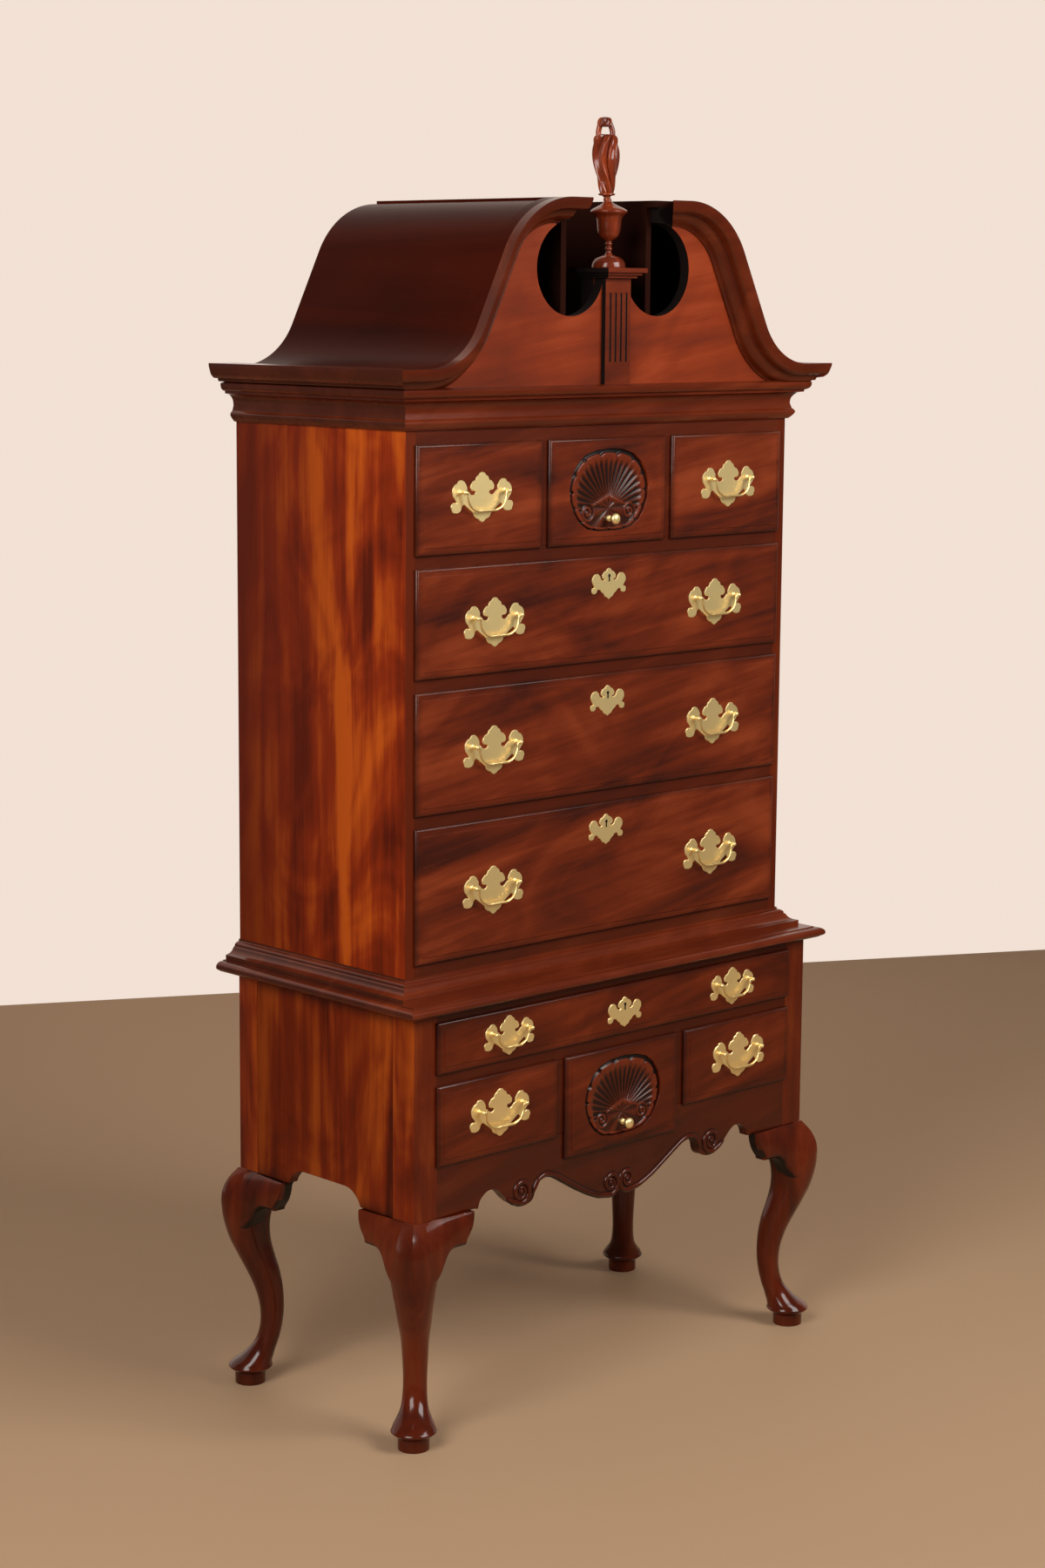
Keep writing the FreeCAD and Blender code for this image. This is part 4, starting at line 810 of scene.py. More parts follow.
# Each row is how far a moulding reaches out, and how high it lies over its joint, or below it where negative.
WAIST = [(-51, 0), (1.5, 0)] + through([(1.5, 0), (8, 1), (17, 3.5), (22.5, 7)], 4) + through(
    [(23.5, 7), (26.4, 9.5), (27, 12.6), (25.4, 17), (20, 20.6), (13.5, 21.6)], 4) + [
    (11.6, 21.6), (11.4, 23), (-51, 23)]
CHEST_BASE = [(0, 0), (31, 0), (31, 7.5)] + through(
    [(28.5, 8.2), (22.5, 10), (17.5, 13.5), (14, 19)], 4) + through(
    [(11.6, 20.6), (10.8, 24), (7, 26.8), (3.6, 28)], 4) + [(2.3, 29.2), (2.3, 32), (0, 32)]
BED = [(0, -68.5)] + through([(4, -67.5), (9.5, -61.5), (12.5, -56), (10.6, -52), (8, -49.5)], 4) + through(
    [(5.4, -40.7), (7, -31), (13.5, -23), (20.5, -20.9)], 4) + [(23, -20.5), (23.4, -16.9)] + through(
    [(27, -15.5), (30.8, -12.5), (32.6, -7.5), (32.6, -3)], 4) + [(24.5, 0), (0, 0)]
CROWN = [(0, 0), (36.8, 0), (38.6, 4.5)] + through(
    [(47, 5.9), (52.6, 11.5), (55.2, 18.5), (57.4, 26.3)], 4) + [(57.5, 30.5), (0, 30.5)]


class HIGHBOY_OT_mouldings(bpy.types.Operator):
    """Waist, chest base and cornice mouldings, mitred at the corners"""
    bl_idname = "highboy.mouldings"
    bl_label = "Mouldings"

    def execute(self, context):
        bm = bmesh.new()
        mitred_run(bm, WAIST, BASE_TOP, HALF_BASE, BASE_FACE, extent("waist_moulding")[1].y)
        place(bm, "Waist moulding", "cornice", instead=["waist_moulding"], slot="mouldings", smooth=28)
        bm = bmesh.new()
        mitred_run(bm, CHEST_BASE, CHEST_FLOOR, HALF_CHEST, 0, CHEST_BACK)
        place(bm, "Chest base moulding", "cornice", instead=["chest_base_moulding"], slot="mouldings",
              smooth=28)
        bm = bmesh.new()
        mitred_run(bm, BED, CHEST_TOP, HALF_CHEST, 0, CHEST_BACK)
        for side in (-1, 1):
            side_run(bm, CROWN, CHEST_TOP, HALF_CHEST, CHEST_BACK, side)
        place(bm, "Cornice", "cornice", instead=["cornice_moulding"], slot="mouldings", smooth=28)
        ease = context.scene.highboy_sizes.edge_round
        dress("chest_rails", "rails", ease)
        dress("chest_carcase", "chest sides", ease)
        dress("chest_back", "bare wood")
        return {"FINISHED"}


# ------------------------------------------------------------------ bonnet

ROOF_EDGE = 37    # how far the roof's cover reaches forward over the necks
ROOF_TOP, ROOF_FOOT = 5, 11    # how deep the roof's sheet lies below the necks' line
# Each row of a neck is how far it reaches out, and how deep it lies below the neck's line.
NECK = [(-BOARD_Y, 0), (ROOF_EDGE, 0), (CROWN_REACH, 0), (57.4, 4.2)] + through(
    [(55.2, 12), (52.6, 17.5), (47, 20.5)], 4) + [(38, 21.5), (36.8, 24)] + through(
    [(34, 30), (28, 35), (21, 38), (18.4, 39.4)], 4) + [(18, 41), (-BOARD_Y, 41)]
NECK_STEPS, ROOF_STEPS = 26, 24


def neck_arcs():
    """Centres of the two arcs of a neck."""
    drop = NECK_Z - CROWN_Z - (NECK_TOP_R + NECK_FOOT_R) * (1 - math.cos(SLOPE))
    start = GAP + FLAT
    foot = start + (NECK_TOP_R + NECK_FOOT_R) * math.sin(SLOPE) + drop / math.tan(SLOPE)
    return Vector((start, 0, NECK_Z - NECK_TOP_R)), Vector((foot, 0, CROWN_Z + NECK_FOOT_R))


def neck_points(inset):
    """Points of the neck's line, inset below its top edge, from the gap to the chest's side."""
    high, low = neck_arcs()
    points = [(GAP, NECK_Z - inset)]
    for centre, radius, first, last in ((high, NECK_TOP_R - inset, 0, SLOPE),
                                        (low, -NECK_FOOT_R - inset, SLOPE, 0)):
        for i in range(ROOF_STEPS + 1):
            turn = first + (last - first) * i / ROOF_STEPS
            points.append((centre.x + radius * math.sin(turn), centre.z + radius * math.cos(turn)))
    return points + [(HALF_CHEST, CROWN_Z - inset)]


def under_cover(face):
    """Whether a neck's face is the strip of its top that the roof's cover runs over."""
    return face.normal.z > 0.2 and -ROOF_EDGE < face.calc_center_median().y < BOARD_Y


def at_gap(face):
    """Whether a neck's face is its mitred end at the gap, which is painted dark as shade."""
    return abs(face.normal.x) > 0.5 and abs(face.calc_center_median().x) < MITRE_BACK


def roof_face_in_shade(face):
    """Whether a face of the roof looks into the gap or at the board, where it is painted dark as shade."""
    middle = face.calc_center_median()
    return abs(abs(middle.x) - GAP) < 0.5 or middle.y < BOARD_Y + 0.5


class HIGHBOY_OT_bonnet(bpy.types.Operator):
    """Swan necks, pediment board, roof and the channel between its two halves"""
    bl_idname = "highboy.bonnet"
    bl_label = "Bonnet"

    def execute(self, context):
        high, low = neck_arcs()
        fall = (low - high) - Vector((math.sin(SLOPE), 0, math.cos(SLOPE))) * (NECK_TOP_R + NECK_FOOT_R)
        bm = bmesh.new()
        for side in (1, -1):
            start = [(side * (GAP + CROWN_REACH - out), -out, NECK_Z - drop) for out, drop in NECK]
            edges = carry(bm, profile(bm, start), lambda co: Vector((side * high.x, co.y, co.z)))
            for centre, turn in ((high, SLOPE), (low, -SLOPE)):
                middle = Vector((side * centre.x, 0, centre.z))
                step = Matrix.Rotation(side * turn / NECK_STEPS, 3, "Y")
                for _ in range(NECK_STEPS):
                    edges = carry(bm, edges, lambda co: middle + step @ (co - middle))
                if centre is high:
                    edges = carry(bm, edges, lambda co: co + Vector((side * fall.x, 0, fall.z)))
            carry(bm, edges, lambda co: Vector((side * (HALF_CHEST - co.y), co.y, co.z)))
        cap(bm)
        bmesh.ops.recalc_face_normals(bm, faces=bm.faces)
        relook(bm, under_cover, look=2)
        # the necks' mitred ends at the gap are painted shade
        relook(bm, at_gap)
        place(bm, "Swan necks", ["mouldings", "bonnet inside", "roof"], instead=["swan_neck_mouldings"],
              slot="mouldings", smooth=28)

        cover, top, foot = [neck_points(inset) for inset in (0, ROOF_TOP, ROOF_FOOT)]
        bm = bmesh.new()
        for side in (1, -1):
            for ring in (top + foot[::-1], cover[:2] + top[:2][::-1]):
                board(bm, [(side * x, z) for x, z in ring], BOARD_Y, CHEST_BACK)
        # faces of the roof that look into the gap or at the board are painted shade
        relook(bm, roof_face_in_shade)
        place(bm, "Bonnet roof", ["roof", "bonnet inside"], instead=["bonnet_roof"], slot="case_wood",
              smooth=30)
        dress("pediment_board", "pediment")
        # the bonnet's frame inside is all painted shade
        dress("bonnet_frame", "bonnet inside")
        return {"FINISHED"}


# ------------------------------------------------------------------ plinth and finial

# Each row of the urn is its radius and its height over the plinth.
URN = [(0, 0), (28, 0)] + through(
    [(28.6, 1.5), (28, 6), (26, 11.5), (20.5, 16.8), (12, 20.3), (7.5, 21.5)], 3) + through(
    [(4.8, 25.5), (4.4, 28), (5.8, 30.4), (6, 32), (5.4, 33.8), (4, 36), (5.4, 38.2), (5.9, 40.5), (4.6, 43),
     (5.4, 44.5)], 3) + through(
    [(9, 46.5), (15.5, 52), (19.2, 61), (20.3, 71), (21.2, 80), (24, 85.5), (29.4, 90)], 3) + through(
    [(31, 92), (31, 94), (26.5, 97.5), (18, 101.5), (11, 105.5), (6.8, 109), (7, 112.5), (5.4, 116),
     (7.5, 118.5)], 3) + through([(13.6, 119.6), (14.2, 121), (13.6, 122.4)], 2) + [(11, 123.5), (0, 123.5)]
# Each row of the flame is a share of its height and its radius there, or how far its arms stand out.
FLAME = through([(0, 11), (0.06, 13), (0.186, 15.6), (0.312, 18.8), (0.44, 21.6), (0.567, 22.3),
                 (0.69, 20.6), (0.745, 17.5), (0.77, 11.5), (0.773, 1)], 9)
FLAME_HEAD = through([(0.866, 1), (0.868, 9.5), (0.882, 12.6), (0.91, 12.8), (0.949, 11.8), (0.985, 8.6),
                      (1, 1)], 5)
FLAME_ARMS = through([(0.69, 9.5), (0.76, 11.6), (0.82, 11.3), (0.88, 9.2), (0.94, 6)], 3)
ARM_RADIUS = 4.7
FLAME_FOOT = FINIAL_Z + 122
FLAME_TALL = TOP_Z - FLAME_FOOT
ASIDE = Vector((-0.7226, 0.6913, 0))    # the way that the flame leans, and its arms stand apart
BEND_FOOT, BEND = FINIAL_Z + 97, 21    # where it starts to lean, and over what height it bends most


class HIGHBOY_OT_finial(bpy.types.Operator):
    """Fluted plinth with its stepped cap, and the urn and flame finial"""
    bl_idname = "highboy.finial"
    bl_label = "Plinth and finial"

    def execute(self, context):
        dress("plinth", "plinth")
        low, high = extent("finial")
        x, y = (low.x + high.x) / 2, (low.y + high.y) / 2
        twist = context.scene.highboy_sizes.flame_twist
        bm = bmesh.new()
        turned(bm, URN, (x, y, FINIAL_Z), steps=48)

        def flame(line, strands, deep):
            """Strands that lean one way, then the other, as they climb."""
            def shape(u, v):
                up, radius = line[round(v * (len(line) - 1))]
                turn = u * math.tau
                lean = strands * (turn + twist * math.sin(math.pi * up / 0.92) - 0.35 * up)
                groove = abs(math.sin(lean / 2)) ** 0.6
                fine = 0.07 * math.sin(lean * 2 + 0.8)
                r = radius * (1 - deep * (1 - groove) + fine * min(1, 4 * up))
                return Vector((x + r * math.cos(turn), y + r * math.sin(turn), FLAME_FOOT + FLAME_TALL * up))

            close(bm, skin(bm, 120, len(line) - 1, shape))

        flame(FLAME, strands=6, deep=0.55)
        flame(FLAME_HEAD, strands=5, deep=0.25)
        for side in (-1, 1):    # two arms carry the head, so that the flame is pierced between them
            path = [Vector((x, y, FLAME_FOOT + FLAME_TALL * up)) - ASIDE * (side * far)
                    for up, far in FLAME_ARMS]
            rope(bm, path, [ARM_RADIUS] * len(path), 14)
        for vert in bm.verts:    # the flame stands a little crooked on its urn
            over = vert.co.z - BEND_FOOT
            if over > 0:
                vert.co += ASIDE * (4.2 * min(over, BEND) / BEND + 0.032 * max(0, over - BEND))
        place(bm, "Finial", "finial", instead=["finial"], slot="mouldings", smooth=50)
        return {"FINISHED"}


# ------------------------------------------------------------------ drawers

LONG = ["chest_low_drawer", "chest_mid_drawer", "chest_high_drawer", "base_long_drawer"]
SHORT = ["chest_top_left_drawer", "chest_top_right_drawer", "base_left_drawer", "base_right_drawer"]
SHELLED = ["chest_top_shell_drawer", "base_shell_drawer"]
DRAWERS = LONG + SHORT + SHELLED


class HIGHBOY_OT_drawers(bpy.types.Operator):
    """Finishes of the ten drawers, each with its own figure and glazed edges"""
    bl_idname = "highboy.drawers"
    bl_label = "Drawers"

    def execute(self, context):
        for name in DRAWERS:
            weights = (0.78, 0.66, 0.50) if name.startswith("base") else (1, 1, 1)
            look = mahogany(name.replace("_", " "), tinted(front_colours(), *weights), contrast=1.7,
                            panel=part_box(name + "_front"), width=0.013, strength=0.65)
            dress(name + "_front", look, 0.0007)
            dress(name + "_box", "bare wood")
        return {"FINISHED"}


SHELL_RIM = [(0, 0.5), (0.16, 0.485), (0.30, 0.43), (0.40, 0.33), (0.47, 0.18), (0.495, 0.04), (0.485, -0.10),
             (0.44, -0.24), (0.37, -0.36), (0.27, -0.44), (0.14, -0.47), (0, -0.473)]
SHELL_WIDE, SHELL_TALL = 0.342, 0.40    # shares of the drawer's front
SHELL_HUB = -0.42    # where the rays meet, in shares of the shell's half height
SHELL_DEPTH, GROOVE_DEPTH = 5.2, 4.6    # at its very edge, and where its groove begins, whose faces are painted dark as shade
LOBES, RAYS, FAN = 15, 22, math.radians(194)
RIM_OUTER, RIM_INNER = 0.935, 0.83    # the lobed rim, in shares of the way from hub to edge
SCROLL_X, SCROLL_Z, SCROLL_RADIUS = 0.52, -0.5, 15    # the scrolls' middles are shares of the half sizes
LEAF_REACH, LEAF_DEPTH, LEAF_FOLDS = 0.29, 2.6, 9


def shell_relief(a, b, da, db, v, around, ray_depth, half_sizes):
    """How deep a carved shell lies at (a, b) of its oval, on the line from its hub to (da, db) of its rim.

    It is v of the way to the rim, and around is where on the rim that line ends, as a share of a full turn.
    """
    wide, tall = half_sizes
    lobe = abs((around * LOBES + 0.5) % 1 * 2 - 1)
    edge, inner = RIM_OUTER - 0.05 * lobe ** 5, RIM_INNER + 0.012 * lobe ** 2
    if v > edge:
        return SHELL_DEPTH
    if v > inner:    # the lobed rim
        middle = (v - inner) / (edge - inner)
        return 0.7 + 0.5 * (2 * middle - 1) ** 4 + 0.9 * lobe ** 6
    for side in (-1, 1):    # a scroll on each side of the leaf
        x, z = (a - side * SCROLL_X) * wide, (b - SCROLL_Z) * tall
        far = math.hypot(x, z) / SCROLL_RADIUS
        if far < 1:
            wind = 1.9 * far ** 0.8 + side * math.atan2(z, x) / math.tau
            return 0.9 + 2.6 * abs(math.sin(math.pi * wind)) ** 2 + 0.4 * far
    off = math.atan2(da * wide, db * tall)
    slope = db + 0.5 * abs(da)
    arch = LEAF_REACH / slope if slope > 0.32 else math.inf
    if v < arch:    # the leaf at the foot of the rays
        leaf = LEAF_DEPTH + 0.7 * math.cos(off * LEAF_FOLDS) * min(1, v / 0.12)
        near = min(1, (arch - v) / 0.06)
        return leaf * near + 0.6 * (1 - near)
    out = (v - arch) / max(0.02, inner - arch)
    ray = (off / FAN * RAYS) % 1 * 2 - 1
    flute = (1 - ray * ray) * min(1, out * 12) * min(1, (1 - out) * 7) ** 0.5
    return 0.6 + 1.2 * math.sin(math.pi * out) + ray_depth * flute * (0.8 + 0.2 * out)


class HIGHBOY_OT_shells(bpy.types.Operator):
    """The two carved shells, each sunk in the front of its drawer"""
    bl_idname = "highboy.shells"
    bl_label = "Carved shells"

    def execute(self, context):
        ray_depth = context.scene.highboy_sizes.ray_depth / MM
        ring = mirrored(through(SHELL_RIM, 16))
        for name in SHELLED:
            low, high = extent(name + "_front")
            middle = (low.z + high.z) / 2
            wide, tall = SHELL_WIDE * (high.x - low.x), SHELL_TALL * (high.z - low.z)

            def shape(u, v):
                across, up = ring[round(u * len(ring)) % len(ring)]
                da, db = 2 * across, 2 * up - SHELL_HUB
                a, b = v * da, SHELL_HUB + v * db
                deep = shell_relief(a, b, da, db, v, u, ray_depth, (wide, tall))
                return Vector((wide * a, low.y + deep, middle + tall * b))

            bm = bmesh.new()
            skin(bm, len(ring), 64, shape)
            # the faces of the groove round the shell get the groove finish: painted shade
            relook(bm, lambda face: min(v.co.y for v in face.verts) > low.y + GROOVE_DEPTH)
            # between these two depths the carving's hollows go from its own colours to full painted shade
            look = carved(name.replace("_", " ") + " carving", front_colours(), (low.y + 0.9 + FACE) * MM,
                          (low.y + 3.7 + FACE) * MM)
            place(bm, name.title() + " carving", [look, "groove"], name, slot="drawer_fronts", smooth=75)
        return {"FINISHED"}


# ------------------------------------------------------------------ brasses

PLATE = [(0, 0), (-5.3, -1.4), (-7.7, -4.5), (-13, -7.8), (-15.3, -12.6), (-20.6, -14.4), (-24.8, -19.3),
         (-26.5, -23.6), (-25.4, -27.8), (-21.8, -29.9), (-16.5, -30.5), (-15.3, -32.6), (-16.5, -35.3),
         (-21.2, -37.2), (-25.4, -35.6), (-29.5, -31.5), (-33.6, -29), (-33.4, -24.3), (-35.6, -19.6),
         (-38.9, -15.1), (-42.5, -12.6), (-46.6, -11.9), (-51.9, -13), (-54.8, -16.9), (-60.7, -19.7),
         (-64.9, -25), (-66, -31), (-64.3, -37.8), (-60.7, -42), (-57.4, -46.9), (-57.2, -48.7),
         (-61.9, -47.6), (-67.2, -49.9), (-69, -54.7), (-67.2, -59.3), (-66, -63.2), (-61.3, -65.1),
         (-54.8, -65.3), (-48.9, -63), (-46, -58.6), (-44.8, -55.1), (-40.7, -51.6), (-32.4, -57.3),
         (-20.6, -65.9), (-18.9, -68.8), (-17.1, -72.2), (-12.4, -75.5), (-8.25, -76.6), (-5.3, -79.5),
         (0, -82)]
PLATE_CORNERS = [0, 2, 5, 11, 16, 19, 23, 30, 35, 41, 44, 47, 49]
PLATE_OVER_PINS = 31.5    # from a bail's pins up to the plate's top tip
DRAWN_SPAN = 99    # the span from post to post that the plate and the bail are drawn for
ESCUTCHEON = [(0, 0), (-4.4, -1.6), (-6.6, -4.6), (-12.4, -7), (-16.4, -12.4), (-15.4, -17.2),
              (-10.6, -19.6), (-13.8, -21.2), (-19, -18.4), (-21.6, -12.8), (-26.4, -9), (-33.6, -9.6),
              (-39.2, -14.6), (-40.4, -21.6), (-36.6, -28.4), (-34.4, -32), (-40, -33.2), (-41, -39),
              (-37.4, -43), (-30.4, -41.8), (-27.6, -36.4), (-21.6, -36.6), (-17.4, -41), (-12.6, -44),
              (-9.4, -48.4), (-4.4, -50.6), (0, -53.4)]
ESCUTCHEON_CORNERS = [0, 2, 6, 8, 10, 15, 20, 22, 24, 26]
ESCUTCHEON_DROP = 20.9    # from the top of a drawer's front down to its top tip
NUT = [(0, 0), (6, 0), (6, -3.5), (0, -3.5)]
SHANK, SHANK_END = 2, 4.5    # half its thickness, and how far it stands out behind the front
LOCK, LOCK_THICK = [(-25, -42), (25, -2)], 8    # its corners below the escutcheon's tip
KNOB = [(0, 0), (5.2, 0), (5.2, 6.4)] + through([(4.4, 7.6), (3, 8.6), (2.8, 11), (3.2, 14.6)], 3) + through(
    [(6.4, 16.6), (8.8, 18.6), (9.4, 20.6), (8.2, 23.4), (4.8, 25.6), (0, 26.2)], 3)
BAILS = [node for node in NODES if node.endswith("_bail")]
PIN_DROP = 2.7    # from the top of a bail's node down to its pins


def hinge(bail):
    """The middle of a bail's pins, and its span from post to post."""
    low, high = extent(bail)
    return (low.x + high.x) / 2, (low.y + high.y) / 2, high.z - PIN_DROP, high.x - low.x


def keyhole(radius=3, drop=13.1):
    """The outline of a keyhole, drawn about the top tip of its escutcheon."""
    turns = [math.radians(angle) for angle in range(-60, 241, 30)]
    round_part = [(radius * math.cos(turn), radius * math.sin(turn) - drop) for turn in turns]
    return round_part + [(-1.7, -23), (1.7, -23)]


def plate(bm, half, corners, scale, x, z, face, thick):
    """A thin plate with a bevelled edge: its half outline is drawn about its top tip."""
    ring = [(x + scale * a, z + scale * b) for a, b in mirrored(joined(half, corners, 3))]
    verts = board(bm, ring, face, face - thick * 0.45)
    front = [f for f in {f for v in verts for f in v.link_faces} if all(v in verts for v in f.verts)]
    bmesh.ops.inset_region(bm, faces=front, thickness=scale, depth=0, use_even_offset=True)
    top = list({v for f in front if f.is_valid for v in f.verts})
    bmesh.ops.translate(bm, verts=top, vec=(0, -thick * 0.55, 0))


def post_rows(thick, out):
    """A post that stands on its plate and carries a pin out before the drawer's face."""
    return [(0, thick - 1), (4.4, thick - 1), (4.4, thick + 0.3)] + through(
        [(4, thick + 1), (3, thick + 1.5), (2.4, thick + 2.4), (2.3, out - 3.6)], 3) + through(
        [(2.9, out - 3), (3.5, out - 1.6), (3.7, out), (3.4, out + 1.7), (2.5, out + 2.9), (1.2, out + 3.5),
         (0, out + 3.6)], 3)


class HIGHBOY_OT_brasses(bpy.types.Operator):
    """Back plates, posts, nuts, escutcheons, locks and knobs, one set for each drawer"""
    bl_idname = "highboy.brasses"
    bl_label = "Brasses"

    def execute(self, context):
        thick = context.scene.highboy_sizes.plate_thick / MM
        for name in DRAWERS:
            low, high = extent(name + "_front")
            face, back = low.y, high.y
            bm = bmesh.new()
            for bail in [node for node in BAILS if node.startswith(name.replace("_drawer", ""))]:
                x, y, z, span = hinge(bail)
                scale = span / DRAWN_SPAN
                plate(bm, PLATE, PLATE_CORNERS, scale, x, z + PLATE_OVER_PINS * scale, face, thick)
                for post in (x - span / 2, x + span / 2):
                    turned(bm, post_rows(thick, face - y), (post, face, z), "y", 24)
                    block(bm, (post - SHANK, face, z - SHANK), (post + SHANK, back + SHANK_END, z + SHANK))
                    turned(bm, NUT, (post, back, z), "y", 6)
            if name in LONG:
                top = high.z - ESCUTCHEON_DROP
                plate(bm, ESCUTCHEON, ESCUTCHEON_CORNERS, 1, 0, top, face, thick)
                # the keyhole is a dark sheet laid on the escutcheon, in the groove finish: painted shade
                # where its hole would be
                first = len(bm.faces)
                board(bm, [(x, top + z) for x, z in keyhole()], face - thick - 0.12, face - thick + 0.5)
                relook(bm, first=first)
                (left, foot), (right, head) = LOCK
                block(bm, (left, back, top + foot), (right, back + LOCK_THICK, top + head))
            if name in SHELLED:
                knob_low, knob_high = extent(name + "_brasses")
                turned(bm, KNOB, (0, knob_high.y, (knob_low.z + knob_high.z) / 2), "y", 32)
            place(bm, name.title() + " brasses", ["brass", "groove"], name, [name + "_brasses"], "brass",
                  smooth=32)
        return {"FINISHED"}


class HIGHBOY_OT_bails(bpy.types.Operator):
    """The twelve bails, each hung on the pins in its two posts"""
    bl_idname = "highboy.bails"
    bl_label = "Bails"

    def execute(self, context):
        thick = context.scene.highboy_sizes.bail_thick / MM
        for node in BAILS:
            x, y, z, span = hinge(node)
            low = extent(node)[0].z - z
            scale, arm = span / DRAWN_SPAN, span / 2 - 6.6
            half = [    # out from the middle, height over the pins, radius
                (span / 2 - 1, 0, 1.5), (span / 2 - 4, 0, 1.5), (arm + 0.9, -0.5, 1.8), (arm, -3.6, 1.9),
                (arm - 0.4, -9 * scale, 1.9), (arm - 2.6, -16 * scale, 1.85), (arm - 7.6, -23 * scale, 1.9),
                (arm - 14, -27.4 * scale, 2.1), (arm - 23 * scale, low + 2.6, 2.3),
                (arm - 33 * scale, low + 2.7, thick), (0, low + thick, thick)]
            half = through([row for row in half if row[0] >= 0], 4)
            line = half + [(-out, up, radius) for out, up, radius in reversed(half[:-1])]
            bm = bmesh.new()
            rope(bm, [(x + out, y, z + up) for out, up, _ in line], [radius for _, _, radius in line], 14)
            place(bm, node.title(), "brass rods", node, [node], "brass", smooth=60)
        return {"FINISHED"}


# ------------------------------------------------------------------ stage

FLOOR = [(-3.3, -3.3, 0), (8, -3.3, 0), (8, 8, 0), (-3.3, 8, 0)]
WALL = [(-4, 5.5, 0), (9, -1.5, 0), (9, -1.5, 6), (-4, 5.5, 6)]
LAMPS = [    # name, place, what it aims at, width and height, watts
    ("Side light", (-3.7, -1.3, 3.0), (0, 0, 1.2), (2.0, 2.6), 165),
    ("Front light", (0.9, -3.3, 3.2), (0, 0, 1.3), (2.2, 2.0), 150)]
LAMP_TINT = (1, 0.97, 0.93)
SKY_TINT, SKY_STRENGTH = (1.0, 0.95, 0.88), 0.12
LENS, SENSOR = 70.3154, 36
EYE = (-3.6894, -3.8306, 1.9002)
YAW, PITCH, ROLL = math.radians(46.267), math.radians(-9.174), math.radians(0.440)


def staged(name, data):
    """An object of the stage, which isn't part of the highboy."""
    made = bpy.data.objects.new(name, data)
    bpy.context.scene.collection.objects.link(made)
    return made


def sheet(name, tint, corners, glows=False):
    """A flat plain sheet; one that glows shows its own colour, and is clear from behind."""
    bm = bmesh.new()
    bm.faces.new([bm.verts.new(corner) for corner in corners])
    mesh = bpy.data.meshes.new(name)
    bm.to_mesh(mesh)
    bm.free()
    look, paint = material(name)
    plain = paint.node("ShaderNodeBsdfPrincipled", {"Base Color": shade(tint), "Roughness": 0.6,
                                                    "Specular IOR Level": 0.1})
    if glows:
        rays = paint.node("ShaderNodeLightPath").socket.node.outputs
        straight, mirror, glass = [Paint(paint.tree, rays[f"Is {kind} Ray"])
                                   for kind in ("Camera", "Glossy", "Transmission")]
        seen = (straight + mirror + glass).clamped()
        glow = paint.node("ShaderNodeEmission", {"Color": shade(tint), "Strength": 1.0})
        plain = paint.node("ShaderNodeMixShader", {0: seen, 1: plain, 2: glow})
        behind = paint.node("ShaderNodeNewGeometry", output="Backfacing")
        clear = paint.node("ShaderNodeBsdfTransparent")
        plain = paint.node("ShaderNodeMixShader", {0: behind, 1: plain, 2: clear})
    paint.node("ShaderNodeOutputMaterial", {"Surface": plain})
    mesh.materials.append(look)
    staged(name, mesh)


def lamp(name, spot, aim, size, power):
    """A soft rectangular light."""
    light = bpy.data.lights.new(name, "AREA")
    light.shape, light.size, light.size_y = "RECTANGLE", size[0], size[1]
    light.energy, light.color = power, LAMP_TINT
    made = staged(name, light)
    made.location = spot
    made.rotation_euler = (Vector(aim) - Vector(spot)).to_track_quat("-Z", "Y").to_euler()


def camera():
    """The scene's camera."""
    optics = bpy.data.cameras.new("Camera")
    optics.lens, optics.sensor_height, optics.sensor_fit, optics.clip_end = LENS, SENSOR, "VERTICAL", 60
    ahead = Vector((math.cos(YAW) * math.cos(PITCH), math.sin(YAW) * math.cos(PITCH), math.sin(PITCH)))
    right = Vector((math.sin(YAW), -math.cos(YAW), 0))
    over = right.cross(ahead)
    x_axis = right * math.cos(ROLL) + over * math.sin(ROLL)
    y_axis = over * math.cos(ROLL) - right * math.sin(ROLL)
    made = bpy.data.objects.new("Camera", optics)
    made.matrix_world = Matrix.Translation(EYE) @ Matrix((x_axis, y_axis, -ahead)).transposed().to_4x4()
    bpy.context.scene.collection.objects.link(made)
    bpy.context.scene.camera = made


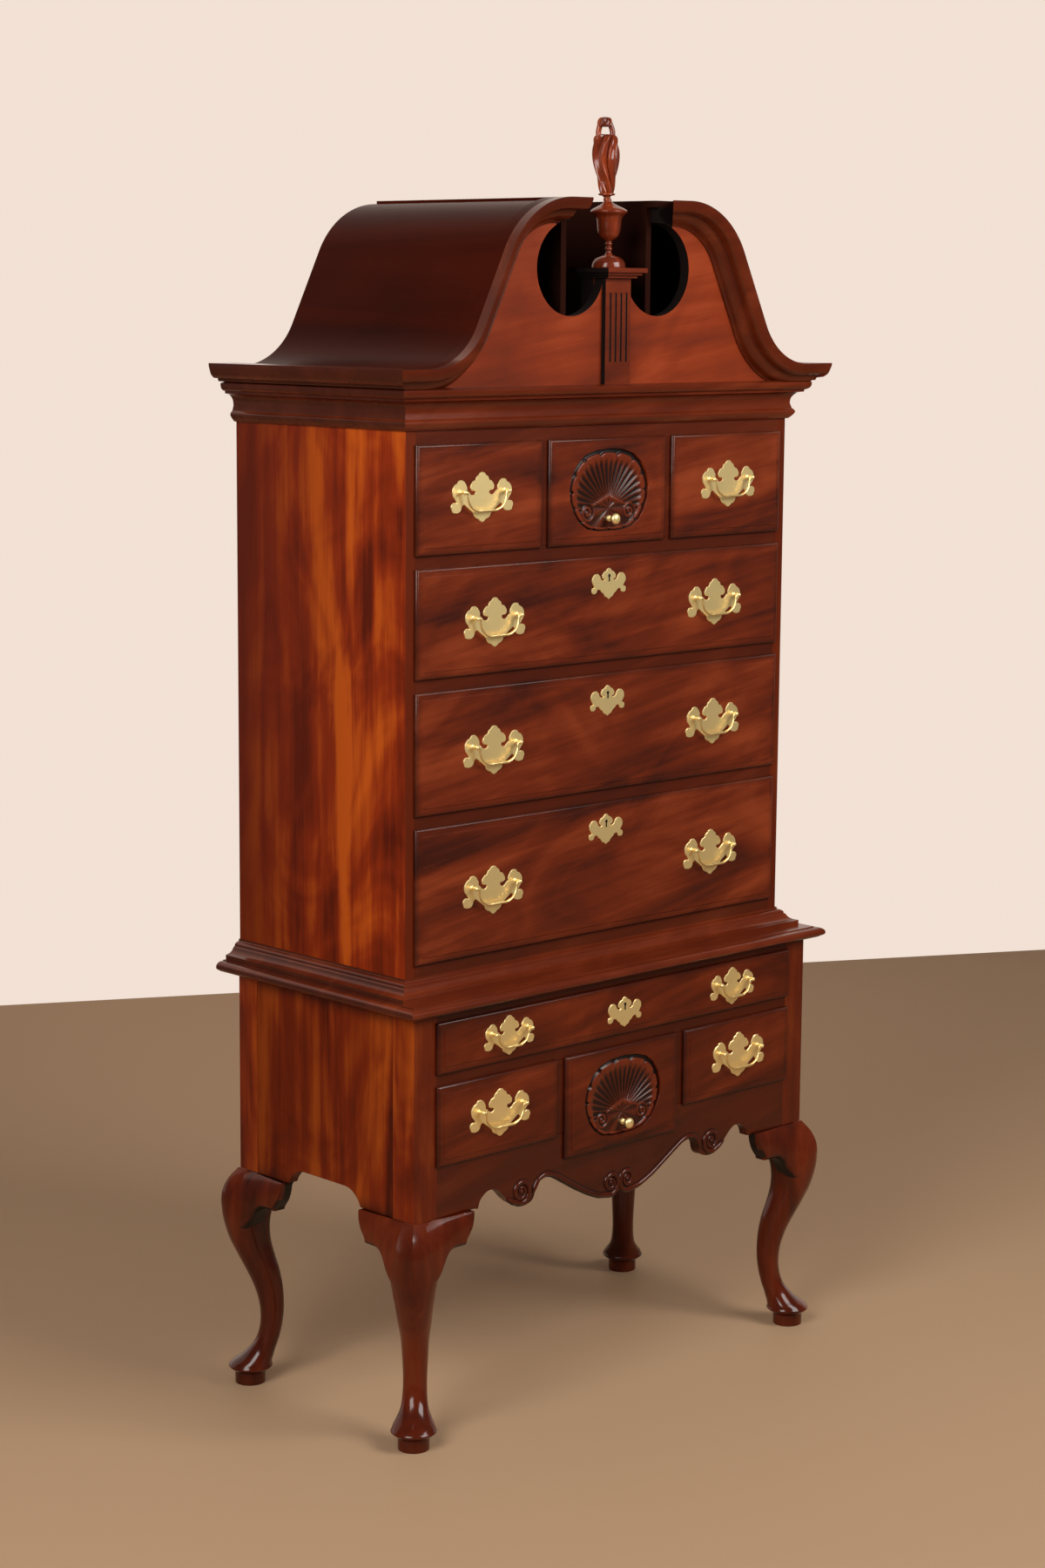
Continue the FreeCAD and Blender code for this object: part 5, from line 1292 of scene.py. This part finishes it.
class HIGHBOY_OT_stage(bpy.types.Operator):
    """Floor, backdrop, soft light and camera"""
    bl_idname = "highboy.stage"
    bl_label = "Stage"

    def execute(self, context):
        tints = context.scene.highboy_colours
        sheet("Floor", tints.floor, FLOOR)
        sheet("Wall", tints.wall, WALL, glows=True)
        world = bpy.data.worlds.new("Room")
        context.scene.world = world
        world.use_nodes = True
        world.node_tree.nodes.clear()
        paint = Paint(world.node_tree)
        sky = paint.node("ShaderNodeBackground", {"Color": shade(SKY_TINT), "Strength": SKY_STRENGTH})
        paint.node("ShaderNodeOutputWorld", {"Surface": sky})
        for settings in LAMPS:
            lamp(*settings)
        camera()
        context.scene.view_settings.view_transform = "Standard"
        return {"FINISHED"}


# ------------------------------------------------------------------ panel and run

STEPS = [HIGHBOY_OT_legs, HIGHBOY_OT_lower_case, HIGHBOY_OT_mouldings, HIGHBOY_OT_bonnet, HIGHBOY_OT_finial,
         HIGHBOY_OT_drawers, HIGHBOY_OT_shells, HIGHBOY_OT_brasses, HIGHBOY_OT_bails, HIGHBOY_OT_stage]


class HIGHBOY_PT_panel(bpy.types.Panel):
    """Builds the highboy piece by piece"""
    bl_label = "Highboy"
    bl_idname = "HIGHBOY_PT_panel"
    bl_space_type = "VIEW_3D"
    bl_region_type = "UI"
    bl_category = "Highboy"

    def draw(self, context):
        for step in STEPS:
            self.layout.operator(step.bl_idname)
        for group in (context.scene.highboy_sizes, context.scene.highboy_colours):
            for key in group.__annotations__:
                self.layout.prop(group, key)


CLASSES = [HighboySizes, HighboyColours, *STEPS, HIGHBOY_PT_panel]


def register():
    for cls in CLASSES:
        bpy.utils.register_class(cls)
    bpy.types.Scene.highboy_sizes = bpy.props.PointerProperty(type=HighboySizes)
    bpy.types.Scene.highboy_colours = bpy.props.PointerProperty(type=HighboyColours)


def unregister():
    del bpy.types.Scene.highboy_colours
    del bpy.types.Scene.highboy_sizes
    for cls in reversed(CLASSES):
        bpy.utils.unregister_class(cls)


def main():
    register()
    for step in STEPS:
        group, operation = step.bl_idname.split(".")
        getattr(getattr(bpy.ops, group), operation)()


if __name__ == "__main__":
    main()
